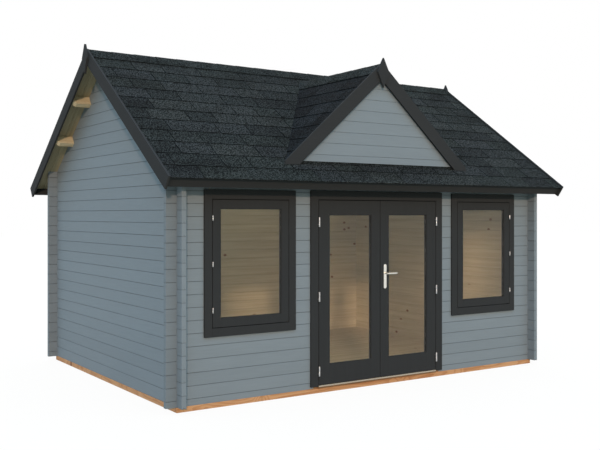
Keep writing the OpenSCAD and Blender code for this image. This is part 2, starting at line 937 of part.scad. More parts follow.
// Outer and inner lever on one spindle
module door_lever() {
    bar_y = sash_y - plate_t - lever_stand;
    color(steel) {
        translate([lever_x, sash_y, lever_z]) rotate([-90, 0, 0]) cylinder(r = spindle_r, h = sash_t);
        both_faces() {
            translate([lever_x, sash_y, lever_z]) rotate([90, 0, 0]) cylinder(r = neck_r, h = sash_y - bar_y);
            translate([lever_x, bar_y, lever_z]) {
                sphere(r = neck_r);
                rotate([0, 90, 0]) cylinder(r = lever_r, h = lever_len - lever_r);
                translate([lever_len - lever_r, 0, 0]) sphere(r = lever_r);
            }
        }
    }
}

foundation_bearers();
floor_joists();
floor_boards();
front_wall_left();
front_wall_right();
front_wall_head();
back_wall();
left_gable_wall();
right_gable_wall();
ridge_beam();
front_purlins();
back_purlins();
front_roof_boards();
back_roof_boards();
front_shingles();
back_shingles();
ridge_cap();
front_fascia();
back_fascia();
left_bargeboards();
right_bargeboards();
gable_panel();
gable_roof_boards();
gable_shingles();
gable_bargeboards();
left_window_frame();
left_window_casing();
left_window_sash();
left_window_glass();
right_window_frame();
right_window_casing();
right_window_sash();
right_window_glass();
window_hinges();
door_frame();
door_casing();
door_threshold();
door_frame_hinges();
left_door_leaf();
left_door_glass();
left_door_hinges();
right_door_leaf();
right_door_glass();
right_door_hinges();
door_handle_plates();
door_lever();
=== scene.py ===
"""Looks of a log-built garden house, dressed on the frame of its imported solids.

Metres, +Z up, the front towards -Y, the origin on the ground under the middle of the house.
"""

import logging
import math
from dataclasses import dataclass
from enum import Enum

import bmesh
import bpy
import numpy as np
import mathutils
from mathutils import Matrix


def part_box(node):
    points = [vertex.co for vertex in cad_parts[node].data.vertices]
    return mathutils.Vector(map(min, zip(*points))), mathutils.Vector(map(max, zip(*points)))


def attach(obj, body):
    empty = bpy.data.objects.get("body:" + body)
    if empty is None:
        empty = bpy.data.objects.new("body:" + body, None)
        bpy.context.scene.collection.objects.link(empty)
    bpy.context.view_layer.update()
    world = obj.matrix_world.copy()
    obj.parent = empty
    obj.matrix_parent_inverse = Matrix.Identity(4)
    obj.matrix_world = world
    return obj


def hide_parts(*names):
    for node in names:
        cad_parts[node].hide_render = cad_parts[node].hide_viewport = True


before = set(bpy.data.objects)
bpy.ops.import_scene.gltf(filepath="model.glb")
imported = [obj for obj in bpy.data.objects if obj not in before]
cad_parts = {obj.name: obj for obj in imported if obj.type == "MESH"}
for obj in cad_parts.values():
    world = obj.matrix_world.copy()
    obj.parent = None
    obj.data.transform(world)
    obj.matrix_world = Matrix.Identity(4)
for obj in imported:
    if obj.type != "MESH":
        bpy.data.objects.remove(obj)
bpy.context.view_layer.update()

Array = np.ndarray
Rgb = tuple[float, float, float]
Vector = tuple[float, float, float]
Fade = tuple[float, float, float, float]
Cut = tuple[Array, Array]
Node = bpy.types.Node
Socket = bpy.types.NodeSocket
Inputs = dict[str | int, object]
Layers = dict[str, object]
LOG = logging.getLogger("garden_house")


class Slot(Enum):
    """Material slots of the record, passed to new pieces."""

    WALL_PAINT = "wall_paint"
    TRIM_PAINT = "trim_paint"
    BARE_PINE = "bare_pine"
    SHINGLE = "shingle"
    HANDLE_METAL = "handle_metal"


class Body(Enum):
    """Bodies of the frame that new pieces ride on."""

    HOUSE = "house"
    LEFT_DOOR = "left_door"
    RIGHT_DOOR = "right_door"


class Facing(Enum):
    """Level direction in which a roof slope falls, as steps in X and Y."""

    FRONT = (0, -1)
    BACK = (0, 1)
    LEFT = (-1, 0)
    RIGHT = (1, 0)


class Grain(Enum):
    """Which way a timber's grain runs: axes along, across and through it, or a rule of its own."""

    ALONG_X = (0, 2, 1)
    ALONG_Y = (1, 2, 0)
    ALONG_Z = (2, 0, 1)
    ROUND_PLAN = "round"
    PER_BOARD = "board"


class Ease(Enum):
    """Width to which the sharp edges of a CAD node are eased."""

    NONE = 0.0
    HINGE = 0.0006
    SASH = 0.0007
    FRAME = 0.0015
    BOARD = 0.002
    BEARER = 0.003


def tone(red: float, green: float, blue: float) -> Rgb:
    """Turn a colour given in 8-bit display values into the linear values that shaders take.

    Args:
        red, green, blue: display values from 0 to 255.

    Returns:
        The linear colour, by the sRGB curve.
    """
    shares = np.array([red, green, blue]) / 255.0
    linear = np.where(shares <= 0.04045, shares / 12.92, ((shares + 0.055) / 1.055) ** 2.4)
    return tuple(float(v) for v in linear)


def node_box(name: str) -> tuple[Array, Array]:
    """Return the lowest and the highest corner of a CAD node as arrays."""
    low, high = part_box(name)
    return np.array(low), np.array(high)


def add_object(name: str, data: bpy.types.ID) -> bpy.types.Object:
    """Add an object to the scene.

    Args:
        name: its name.
        data: its mesh, lamp or camera.

    Returns:
        The object, at the origin.
    """
    made = bpy.data.objects.new(name, data)
    bpy.context.scene.collection.objects.link(made)
    return made


class Graph:
    """Short calls that add nodes to one node tree.

    Attributes:
        MIX_INPUTS, MIX_RESULT: sockets of a Mix node for colours: share and colours in, blend out.
    """

    MIX_INPUTS = (0, 6, 7)
    MIX_RESULT = 2

    def __init__(self, tree: bpy.types.NodeTree) -> None:
        """Keep the tree that the calls add to."""
        self.tree = tree

    def node(self, kind: str, inputs: Inputs | None = None, **settings: object) -> Node:
        """Add a shader node.

        Args:
            kind: the node's type name without its prefix.
            inputs: what it takes, by name or number of the input.
            settings: properties to set on it.

        Returns:
            The new node.
        """
        made = self.tree.nodes.new("ShaderNode" + kind)
        for name, value in settings.items():
            setattr(made, name, value)
        self.feed(made, inputs or {})
        return made

    def feed(self, node: Node, inputs: Inputs) -> None:
        """Link sockets into a node's inputs, and set the inputs whose values are plain.

        Args:
            node: the node that takes the values.
            inputs: other nodes' outputs, numbers or colours, by name or number of the input.
        """
        for name, value in inputs.items():
            if isinstance(value, Socket):
                self.tree.links.new(value, node.inputs[name])
            else:
                node.inputs[name].default_value = value

    def value(self, kind: str, inputs: Inputs, output: str | int = 0, **settings: object) -> Socket:
        """Add a shader node and return one of its outputs, given by name or number."""
        return self.node(kind, inputs, **settings).outputs[output]

    def math(self, operation: str, a: object, b: object = 0.0, c: object = 0.0) -> Socket:
        """Combine up to three values by a Math operation."""
        return self.value("Math", {0: a, 1: b, 2: c}, operation=operation)

    def around(self, share: Socket, middle: float, spread: float) -> Socket:
        """Turn a share from 0 to 1 into a value spread round a middle."""
        return self.math("MULTIPLY_ADD", share, spread, middle - spread / 2)

    def between(self, share: Socket, a: Socket, b: Socket) -> Socket:
        """Return the value a where the share is 0 and b where it is 1."""
        return self.math("MULTIPLY_ADD", self.math("SUBTRACT", b, a), share, a)

    def stretch(self, at: Socket, scale: Vector) -> Socket:
        """Multiply coordinates by a scale per axis."""
        return self.value("VectorMath", {0: at, 1: scale}, operation="MULTIPLY")

    def noise(self, at: Socket, scale: float = 1.0, detail: float = 2.0, rough: float = 0.5) -> Socket:
        """Return smooth noise from 0 to 1 at the given coordinates."""
        inputs = {"Vector": at, "Scale": scale, "Detail": detail, "Roughness": rough}
        return self.value("TexNoise", inputs, "Fac")

    def fade(self, value: object, start: float, end: float, low: float = 0.0, high: float = 1.0) -> Socket:
        """Return a smooth step that goes from low to high as the value goes from start to end."""
        inputs = dict(enumerate((value, start, end, low, high)))
        return self.value("MapRange", inputs, interpolation_type="SMOOTHSTEP")

    def mix(self, share: object, a: object, b: object, blend: str = "MIX") -> Socket:
        """Blend two colours.

        Args:
            share: share of the second colour.
            a, b: the colours, as sockets or linear values.
            blend: how they blend.

        Returns:
            The blended colour.
        """
        given = [v if isinstance(v, (Socket, float)) else (*v, 1.0) for v in (share, a, b)]
        inputs = dict(zip(self.MIX_INPUTS, given))
        return self.value("Mix", inputs, self.MIX_RESULT, data_type="RGBA", blend_type=blend)

    def shade(self, colour: object, level: Socket) -> Socket:
        """Multiply a colour by a level."""
        return self.mix(1.0, colour, self.join(level, level, level), "MULTIPLY")

    def split(self, at: Socket) -> tuple[Socket, Socket, Socket]:
        """Return the three parts of a vector."""
        return tuple(self.node("SeparateXYZ", {0: at}).outputs)

    def join(self, x: object, y: object, z: object) -> Socket:
        """Return a vector made of three values."""
        return self.value("CombineXYZ", {0: x, 1: y, 2: z})

    def attribute(self, name: str, output: str) -> Socket:
        """Return an attribute of the mesh: its Vector or its Fac."""
        return self.value("Attribute", {}, output, attribute_name=name)

    def place(self) -> Socket:
        """Return the Object coordinates."""
        return self.value("TexCoord", {}, "Object")

    def group(self, tree: bpy.types.NodeTree, **inputs: object) -> bpy.types.NodeOutputs:
        """Place a node group, fed by input names with underscores for spaces, and return its outputs."""
        spaced = {name.replace("_", " "): value for name, value in inputs.items()}
        return self.node("Group", spaced, node_tree=tree).outputs

    def show(self, share: Socket, a: Socket, b: Socket) -> None:
        """Blend two shaders by a share and feed the tree's output with the result."""
        mixed = self.value("MixShader", {0: share, 1: a, 2: b})
        self.feed(self.tree.get_output_node("ALL"), {"Surface": mixed})


def start_group(
    name: str, inputs: dict[str, str], outputs: dict[str, str]
) -> tuple[Graph, dict[str, Socket], Node]:
    """Make an empty shader node group with named sockets.

    Args:
        name: the group's name.
        inputs: socket kind by input name.
        outputs: socket kind by output name.

    Returns:
        The graph of the group, its inputs by name and its output node.
    """
    tree = bpy.data.node_groups.new(name, "ShaderNodeTree")
    for way, sockets in (("INPUT", inputs), ("OUTPUT", outputs)):
        for label, kind in sockets.items():
            tree.interface.new_socket(name=label, in_out=way, socket_type="NodeSocket" + kind)
    source = tree.nodes.new("NodeGroupInput")
    return Graph(tree), dict(source.outputs.items()), tree.nodes.new("NodeGroupOutput")


@dataclass(frozen=True)
class PineFigure:
    """Figure of sawn pine from growth rings, knots and fibre.

    Attributes:
        knot_squeeze: squeeze of the knots' cell pattern along the grain.
        knotless: share of the cells that hold no knot.
        knot_edge, knot_heart: distances from a knot's middle where it starts and where it is full.
        swerve_reach, swerve: how far from a knot the rings are pushed aside, and how much.
        drift_scale, drift: scale per axis of the slow noise that warps the rings, and how much it does.
        pith_depth: depth of the pith line behind the board.
        late_from, late_full: shares of a ring where late wood starts and where it is full.
        fibre_scale: scale of the fibre per axis.
    """

    knot_squeeze: float = 0.7
    knotless: float = 0.42
    knot_edge: float = 0.023
    knot_heart: float = 0.007
    swerve_reach: float = 0.075
    swerve: float = 0.016
    drift_scale: Vector = (0.9, 5.0, 5.0)
    drift: float = 0.07
    pith_depth: float = 0.04
    late_from: float = 0.3
    late_full: float = 0.95
    fibre_scale: Vector = (5.0, 170.0, 170.0)

    def make(self) -> bpy.types.NodeTree:
        """Build the group.

        Rings are the fraction of the distance from a pith line behind the board, warped by slow noise
        and pushed aside near knots. Knots are spots round the points of a flat cell pattern. Fibre is
        noise stretched far along the grain.

        Returns:
            The group: Grain, Ring Spacing and Knot Spacing in, Rings, Knots and Fibre out.
        """
        g, given, out = start_group(
            "pine_figure",
            {"Grain": "Vector", "Ring Spacing": "Float", "Knot Spacing": "Float"},
            {"Rings": "Float", "Knots": "Float", "Fibre": "Float"},
        )
        grain, spacing = given["Grain"], given["Knot Spacing"]
        along, across, depth = g.split(grain)
        flat = g.join(g.math("MULTIPLY", along, self.knot_squeeze), across, 0.0)
        scale = g.math("DIVIDE", 1.0, spacing)
        cells = g.node("TexVoronoi", {"Vector": flat, "Scale": scale}, voronoi_dimensions="2D").outputs
        kept = g.math("GREATER_THAN", cells["Color"], self.knotless)
        reach = g.math("MULTIPLY", cells["Distance"], spacing)
        spot = g.math("MULTIPLY", g.fade(reach, self.knot_edge, self.knot_heart), kept)
        push = g.math("MULTIPLY", g.fade(reach, self.swerve_reach, 0.0, 0.0, self.swerve), kept)
        warp = g.math("MULTIPLY_ADD", g.noise(g.stretch(grain, self.drift_scale)), self.drift, push)
        side = g.math("POWER", g.math("ADD", across, warp), 2.0)
        deep = g.math("POWER", g.math("ADD", depth, self.pith_depth), 2.0)
        radius = g.math("SQRT", g.math("ADD", side, deep))
        turn = g.math("FRACT", g.math("DIVIDE", radius, given["Ring Spacing"]))
        fibre = g.noise(g.stretch(grain, self.fibre_scale), detail=3.0, rough=0.6)
        g.feed(out, {"Rings": g.fade(turn, self.late_from, self.late_full), "Knots": spot, "Fibre": fibre})
        return g.tree


@dataclass(frozen=True)
class PaintFilm:
    """Opaque paint on planed timber: slow clouds of tone, brush marks along the grain.

    Attributes:
        cloud_stretch, cloud_scale: scale of the clouds, per axis and in all.
        brush_stretch: scale of the brush marks per axis.
        level: least share of the tone.
        cloud, brush: what clouds and brush marks add to that share.
        rough, rough_spread: least roughness, and what the clouds add to it.
    """

    cloud_stretch: Vector = (0.9, 5.0, 5.0)
    cloud_scale: float = 1.6
    brush_stretch: Vector = (5.0, 110.0, 110.0)
    level: float = 0.86
    cloud: float = 0.12
    brush: float = 0.16
    rough: float = 0.5
    rough_spread: float = 0.18

    def make(self) -> bpy.types.NodeTree:
        """Build the group.

        Returns:
            The group: Grain and Colour in, Colour, Roughness and Height out.
        """
        g, given, out = start_group(
            "paint_film",
            {"Grain": "Vector", "Colour": "Color"},
            {"Colour": "Color", "Roughness": "Float", "Height": "Float"},
        )
        cloud = g.noise(g.stretch(given["Grain"], self.cloud_stretch), self.cloud_scale, detail=3.0)
        brush = g.noise(g.stretch(given["Grain"], self.brush_stretch), detail=3.0, rough=0.6)
        clouded = g.math("MULTIPLY_ADD", cloud, self.cloud, self.level)
        level = g.math("ADD", clouded, g.math("MULTIPLY", brush, self.brush))
        rough = g.math("MULTIPLY_ADD", cloud, self.rough_spread, self.rough)
        g.feed(out, {"Colour": g.shade(given["Colour"], level), "Roughness": rough, "Height": brush})
        return g.tree


PINE_FIGURE = PineFigure().make()
PAINT_FILM = PaintFilm().make()
WALL_LOW, WALL_HIGH = node_box("back_wall")
LOG_T = float(WALL_HIGH[1] - WALL_LOW[1])
BASE_Z = float(WALL_LOW[2])
PLAN_HALF = node_box("foundation_bearers")[1].tolist()
BEARER_W = 0.07
CLEAR = 0.0002  # keeps the edge of a mask off the faces that it bounds


@dataclass(frozen=True)
class Courses:
    """Log courses of a wall, for a pattern that changes from log to log.

    Attributes:
        base: height of the underside of a course.
        height: height of one course.
    """

    base: float
    height: float = 0.113

    def at(self, g: Graph) -> tuple[Socket, Socket]:
        """Return the number of the course at a point and the share of its height."""
        level = g.math("DIVIDE", g.math("SUBTRACT", g.split(g.place())[2], self.base), self.height)
        return g.math("FLOOR", level), g.math("FRACT", level)


@dataclass(frozen=True)
class Room:
    """Plan of the walls, drawn in by a distance.

    Attributes:
        inset: that distance from the outer faces, below 0 where the plan grows.
    """

    inset: float

    def mask(self, g: Graph) -> Socket:
        """Return 1 inside the plan and 0 outside."""
        reaches = zip(g.split(g.place()), PLAN_HALF[:2])
        return g.math("MULTIPLY", *(self.within(g, part, half - self.inset) for part, half in reaches))

    @staticmethod
    def within(g: Graph, part: Socket, half: float) -> Socket:
        """Return 1 where a coordinate lies less than a half size from the middle, or else 0."""
        return g.math("LESS_THAN", g.math("ABSOLUTE", part), half)


PLAN = Room(-CLEAR)
ROOM_IN_LOGS = Room(LOG_T / 2)
ROOM_BEHIND_LOGS = Room(LOG_T - CLEAR)


@dataclass(frozen=True)
class Finish:
    """A surface finish.

    Attributes:
        name: the material's name.
        shine: specular level.
        depth: depth of the relief.
    """

    name: str
    shine: float = 0.5
    depth: float = 0.0

    def make(self) -> bpy.types.Material:
        """Build the material, or find it where it was built before.

        Returns:
            The material.
        """
        material = bpy.data.materials.get(self.name)
        if material is None:
            material = bpy.data.materials.new(self.name)
            material.use_nodes = True
            self.dress(Graph(material.node_tree), material.node_tree.nodes["Principled BSDF"])
        return material

    def dress(self, g: Graph, shader: Node) -> None:
        """Feed the shader with what varies over the surface, and turn its normals by the relief.

        Args:
            g: the material's graph.
            shader: its Principled node.
        """
        varied = self.layers(g)
        relief = {"Strength": 1.0, "Distance": self.depth, "Height": varied.pop("Height")}
        g.feed(shader, {**varied, "Specular IOR Level": self.shine, "Normal": g.value("Bump", relief)})

    def layers(self, g: Graph) -> Layers:
        """Work out what the surface is like at a point.

        Args:
            g: the material's graph.

        Returns:
            Values of the shader's inputs by name, and the Height of the relief.
        """
        raise NotImplementedError


@dataclass(frozen=True)
class Timber(Finish):
    """Bare pine.

    Attributes:
        light, dark, knot: colours of early wood, late wood and knots.
        grain: which way the grain runs.
        courses: log courses, where the piece is built of them.
        course_shift: shift of the figure along the grain from one course to the next.
        ring, knots: spacing of the growth rings and of the knots.
        slow_scale, slow: scale per axis of slow changes of tone, and their spread.
        rough, rough_spread: least roughness, and what the fibre adds to it.
        ring_relief: depth of the rings in the relief, against the fibre's.
    """

    shine: float = 0.25
    depth: float = 0.0004
    light: Rgb = tone(213, 201, 167)
    dark: Rgb = tone(177, 160, 122)
    knot: Rgb = tone(136, 92, 58)
    grain: Grain = Grain.ALONG_X
    courses: Courses | None = None
    course_shift: float = 3.7
    ring: float = 0.006
    knots: float = 0.3
    slow_scale: Vector = (1.1, 24.0, 24.0)
    slow: float = 1.3
    rough: float = 0.52
    rough_spread: float = 0.2
    ring_relief: float = 0.4

    def coordinates(self, g: Graph) -> Socket:
        """Work out coordinates that follow the grain.

        Args:
            g: the material's graph.

        Returns:
            Coordinates with the grain along the first axis and the log's own middle in the second.
        """
        if self.grain is Grain.PER_BOARD:
            return g.attribute("grain", "Vector")
        parts = g.split(g.place())
        if self.grain is Grain.ROUND_PLAN:
            x, y, z = parts
            between_sides = Room.within(g, y, PLAN_HALF[1] - BEARER_W - CLEAR)
            return g.mix(between_sides, g.join(x, y, z), g.join(y, x, z))
        along, across, depth = (parts[axis] for axis in self.grain.value)
        if self.courses is not None:
            number, share = self.courses.at(g)
            along = g.math("MULTIPLY_ADD", number, self.course_shift, along)
            across = g.math("MULTIPLY", g.math("SUBTRACT", share, 0.5), self.courses.height)
        return g.join(along, across, depth)

    def bare(self, g: Graph, at: Socket) -> Layers:
        """Work out bare timber: the mean of rings and fibre, moved by slow noise, is the share of late wood.

        Args:
            g: the material's graph.
            at: coordinates that follow the grain.

        Returns:
            Its colour, roughness and height.
        """
        figure = g.group(PINE_FIGURE, Grain=at, Ring_Spacing=self.ring, Knot_Spacing=self.knots)
        rings, fibre = figure["Rings"], figure["Fibre"]
        slow = g.around(g.noise(g.stretch(at, self.slow_scale), detail=3.0), 0.0, self.slow)
        streak = g.math("MULTIPLY_ADD", rings, 0.5, g.math("MULTIPLY", fibre, 0.5))
        late = g.math("MAXIMUM", g.math("ADD", streak, slow), 0.0)
        return {
            "Base Color": g.mix(figure["Knots"], g.mix(late, self.light, self.dark), self.knot),
            "Roughness": g.math("MULTIPLY_ADD", fibre, self.rough_spread, self.rough),
            "Height": g.math("SUBTRACT", fibre, g.math("MULTIPLY", rings, self.ring_relief)),
        }

    def layers(self, g: Graph) -> Layers:
        """Return the bare timber."""
        return self.bare(g, self.coordinates(g))


@dataclass(frozen=True)
class PaintedTimber(Timber):
    """Painted timber, bare inside the room.

    Attributes:
        paint: colour of the paint.
        room: the plan inside which the timber is bare, or None where it is painted all over.
        course_tone, course_noise: spread of the tone among the courses, and scale of the noise that draws it.
        joint: half width of the dark line in the joint between two courses.
        paint_gap, bare_gap: share of light left in that line on paint and on bare timber.
        end_shade: share of the tone that the ends of the logs keep, outside the corners.
    """

    shine: float = 0.1
    depth: float = 0.0003
    paint: Rgb = tone(130, 140, 144)
    room: Room | None = None
    course_tone: float = 0.12
    course_noise: float = 5.3
    joint: float = 0.0022
    paint_gap: float = 0.73
    bare_gap: float = 0.88
    end_shade: float = 0.875

    def layers(self, g: Graph) -> Layers:
        """Work out paint outside the room and bare timber inside it.

        Args:
            g: the material's graph.

        Returns:
            Colour, roughness and height.
        """
        at = self.coordinates(g)
        painted = self.painted(g, at)
        if self.room is None:
            return painted
        inside, bare = self.room.mask(g), self.bare(g, at)
        if self.courses is not None:
            bare["Base Color"] = self.jointed(g, bare["Base Color"], self.bare_gap)
        mixed = {name: g.between(inside, painted[name], bare[name]) for name in ("Roughness", "Height")}
        return {**mixed, "Base Color": g.mix(inside, painted["Base Color"], bare["Base Color"])}

    def painted(self, g: Graph, at: Socket) -> Layers:
        """Work out the paint, each course of its own tone.

        Args:
            g: the material's graph.
            at: coordinates that follow the grain.

        Returns:
            Its colour, roughness and height.
        """
        film = g.group(PAINT_FILM, Grain=at, Colour=(*self.paint, 1.0))
        colour = film["Colour"]
        if self.courses is not None:
            drawn = g.noise(g.join(self.courses.at(g)[0], 0.0, 0.0), self.course_noise, detail=0.0)
            end = g.math("MULTIPLY_ADD", PLAN.mask(g), 1.0 - self.end_shade, self.end_shade)
            colour = g.shade(colour, g.math("MULTIPLY", g.around(drawn, 1.0, self.course_tone), end))
            colour = self.jointed(g, colour, self.paint_gap)
        return {"Base Color": colour, "Roughness": film["Roughness"], "Height": film["Height"]}

    def jointed(self, g: Graph, colour: Socket, left: float) -> Socket:
        """Shade the joints between courses.

        Args:
            g: the material's graph.
            colour: colour of the courses.
            left: share of it that is left in a joint.

        Returns:
            The shaded colour.
        """
        share = self.courses.at(g)[1]
        near = g.math("MINIMUM", share, g.math("SUBTRACT", 1.0, share))
        distance = g.math("MULTIPLY", near, self.courses.height)
        return g.shade(colour, g.fade(distance, 2 * self.joint, self.joint, 1.0, left))


@dataclass(frozen=True)
class MineralShingle(Finish):
    """Bitumen shingle with mineral granules, each tab of its own tone.

    A fade holds the noise at which it starts and ends, and the share of the tone at both.

    Attributes:
        tones: colours of the tabs, by the share that each tab draws.
        cut: colour of the cut edges.
        patch_stretch, patch_scale, patch: scale of dark patches per axis and in all, and their fade.
        granule, granules: scale of the granules, and their fade.
        clump, clumps: scale of clumps of granules, and their fade.
        rough, rough_spread: least roughness, and what the granules add to it.
    """

    shine: float = 0.03
    depth: float = 0.001
    tones: tuple[Rgb, ...] = (
        tone(36, 38, 37), tone(39, 42, 40), tone(42, 45, 42), tone(43, 45, 44), tone(47, 49, 46)
    )
    cut: Rgb = tone(20, 23, 24)
    patch_stretch: Vector = (1.0, 2.2, 2.2)
    patch_scale: float = 1.7
    patch: Fade = (0.44, 0.7, 1.04, 0.76)
    granule: float = 210.0
    granules: Fade = (0.38, 0.66, 0.05, 0.75)
    clump: float = 84.0
    clumps: Fade = (0.44, 0.61, 0.0, 1.85)
    rough: float = 0.75
    rough_spread: float = 0.2

    def layers(self, g: Graph) -> Layers:
        """Work out the tone by tab, soft dark patches, granules and black cut edges.

        Args:
            g: the material's graph.

        Returns:
            Colour, roughness and height.
        """
        at = g.place()
        tabs = g.node("ValToRGB", {"Fac": g.attribute("tab", "Fac")})
        stops = tabs.color_ramp.elements
        for share in np.linspace(0, 1, len(self.tones))[1:-1]:
            stops.new(share)
        for stop, colour in zip(stops, self.tones):
            stop.color = (*colour, 1.0)
        patch = g.fade(g.noise(g.stretch(at, self.patch_stretch), self.patch_scale, detail=3.0), *self.patch)
        grain = g.noise(at, self.granule, rough=0.7)
        clump = g.noise(at, self.clump, detail=1.0, rough=0.6)
        speckle = g.math("ADD", g.fade(grain, *self.granules), g.fade(clump, *self.clumps))
        colour = g.shade(tabs.outputs["Color"], g.math("MULTIPLY", patch, speckle))
        return {
            "Base Color": g.mix(g.attribute("rim", "Fac"), colour, self.cut),
            "Roughness": g.math("MULTIPLY_ADD", grain, self.rough_spread, self.rough),
            "Height": g.math("ADD", grain, clump),
        }


@dataclass(frozen=True)
class ClearGlass(Finish):
    """Clear glass that lets lamps through to the room behind it.

    Attributes:
        tint: colour of the view through it.
        shade: share of a lamp's light that each face lets pass.
        index: refractive index.
    """

    tint: Rgb = (0.93, 0.95, 0.93)
    shade: Rgb = (0.66, 0.67, 0.67)
    index: float = 1.36

    def dress(self, g: Graph, shader: Node) -> None:
        """Feed the shader, and stand a transparent one in for rays from lamps.

        Args:
            g: the material's graph.
            shader: its Principled node.
        """
        clear = {"Roughness": 0.0, "IOR": self.index, "Transmission Weight": 1.0}
        g.feed(shader, {"Base Color": (*self.tint, 1.0), **clear})
        through = g.value("BsdfTransparent", {"Color": (*self.shade, 1.0)})
        g.show(g.value("LightPath", {}, "Is Shadow Ray"), shader.outputs[0], through)


@dataclass(frozen=True)
class Metal(Finish):
    """Plated metal with faint marks along one direction.

    Attributes:
        colour, colour_spread: colour of the metal, and how much the marks change it.
        rough, rough_spread: middle roughness, and how much the marks change it.
        marks: scale of the marks per axis.
    """

    depth: float = 0.00005
    colour: Rgb = tone(224, 223, 216)
    colour_spread: float = 0.16
    rough: float = 0.28
    rough_spread: float = 0.14
    marks: Vector = (300.0, 300.0, 30.0)

    def layers(self, g: Graph) -> Layers:
        """Work out the metal.

        Args:
            g: the material's graph.

        Returns:
            Colour, metal, roughness and height.
        """
        mark = g.noise(g.stretch(g.place(), self.marks), detail=3.0)
        return {
            "Base Color": g.shade(self.colour, g.around(mark, 1.0, self.colour_spread)),
            "Metallic": 1.0,
            "Roughness": g.around(mark, self.rough, self.rough_spread),
            "Height": mark,
        }


@dataclass(frozen=True)
class RailedSill(Timber):
    """Timber sill that carries a drawn metal rail between the jambs.

    Attributes:
        rail, rail_metal: colour of the rail, and how much of a metal it is.
        rail_from: height of the rail's lower edge.
        rail_half: half length of the rail.
    """

    rail: Rgb = tone(178, 170, 154)
    rail_metal: float = 0.5
    rail_from: float = 0.062
    rail_half: float = 0.748

    def layers(self, g: Graph) -> Layers:
        """Work out the timber, and the metal where the rail lies.

        Args:
            g: the material's graph.

        Returns:
            Colour, metal, roughness and height.
        """
        made = super().layers(g)
        x, _, z = g.split(g.place())
        above = g.math("GREATER_THAN", z, self.rail_from)
        railed = g.math("MULTIPLY", Room.within(g, x, self.rail_half), above)
        colour = g.mix(railed, made["Base Color"], self.rail)
        return {**made, "Base Color": colour, "Metallic": g.math("MULTIPLY", railed, self.rail_metal)}


def trim(name: str, grain: Grain, room: Room | None = None) -> PaintedTimber:
    """Return the dark paint of boards and frames."""
    return PaintedTimber(name, grain=grain, room=room, paint=tone(55, 56.5, 56.5), shine=0.02)


COURSE = Courses(0.0).height
LONG_WALL = PaintedTimber("painted_logs_long", courses=Courses(BASE_Z - COURSE / 2), room=ROOM_IN_LOGS)
GABLE_WALL = PaintedTimber(
    "painted_logs_gable", grain=Grain.ALONG_Y, courses=Courses(BASE_Z), room=ROOM_IN_LOGS, end_shade=0.955
)
PANEL_PAINT = PaintedTimber("painted_panel", grain=Grain.PER_BOARD)
TRIM_X = trim("trim_along_x", Grain.ALONG_X)
TRIM_Y = trim("trim_along_y", Grain.ALONG_Y)
TRIM_Z = trim("trim_along_z", Grain.ALONG_Z)
CASING = trim("trim_casing", Grain.ALONG_Z, ROOM_BEHIND_LOGS)
PLANED_PINE = Timber("planed_pine")
FLOOR_PINE = Timber("floor_pine", grain=Grain.PER_BOARD)
# The planed pine in darker tones: painted shade on the roof boards, seen under the eaves.
SHADED_SOFFIT_PINE = Timber("soffit_pine_painted_shade", grain=Grain.PER_BOARD, light=tone(168, 158, 128), dark=tone(134, 122, 92))
GABLE_PINE = Timber("gable_board_pine", grain=Grain.ALONG_Y)
BEARER_PINE = Timber(
    "bearer_pine", grain=Grain.ROUND_PLAN,
    light=tone(211, 162, 115), dark=tone(177, 122, 78), knot=tone(120, 70, 38),
)
JOIST_PINE = Timber("joist_pine", grain=Grain.ALONG_Y)
SHINGLE = MineralShingle("mineral_shingle")
# The main roof's shingle in darker tones: painted shade on both slopes of the front gable.
SHADED_GABLE_SHINGLE = MineralShingle(
    "gable_shingle_painted_shade", tones=(tone(25, 27, 28), tone(28, 31, 32), tone(31, 34, 35), tone(34, 37, 38))
)
GLASS = ClearGlass("clear_glass")
NICKEL = Metal("satin_nickel")
ZINC = Metal("zinc_plate", colour=tone(180, 183, 184), rough=0.34)
# A real timber sill, but its dark brown tone below the pale rail is a painted shadow line under the door
# leaves.
SHADED_SILL = RailedSill("railed_sill_painted_shadow", light=tone(150, 116, 78), dark=tone(112, 82, 52))


def grid_quads(number: Array) -> Array:
    """Return the quads of a grid of vertex numbers."""
    return np.stack([number[:-1, :-1], number[:-1, 1:], number[1:, 1:], number[1:, :-1]], -1).reshape(-1, 4)


def points_of(x: Array, y: Array, z: Array) -> Array:
    """Return points, with the coordinates in the last axis, from three arrays that spread to one shape."""
    return np.stack(np.broadcast_arrays(x, y, z), axis=-1)


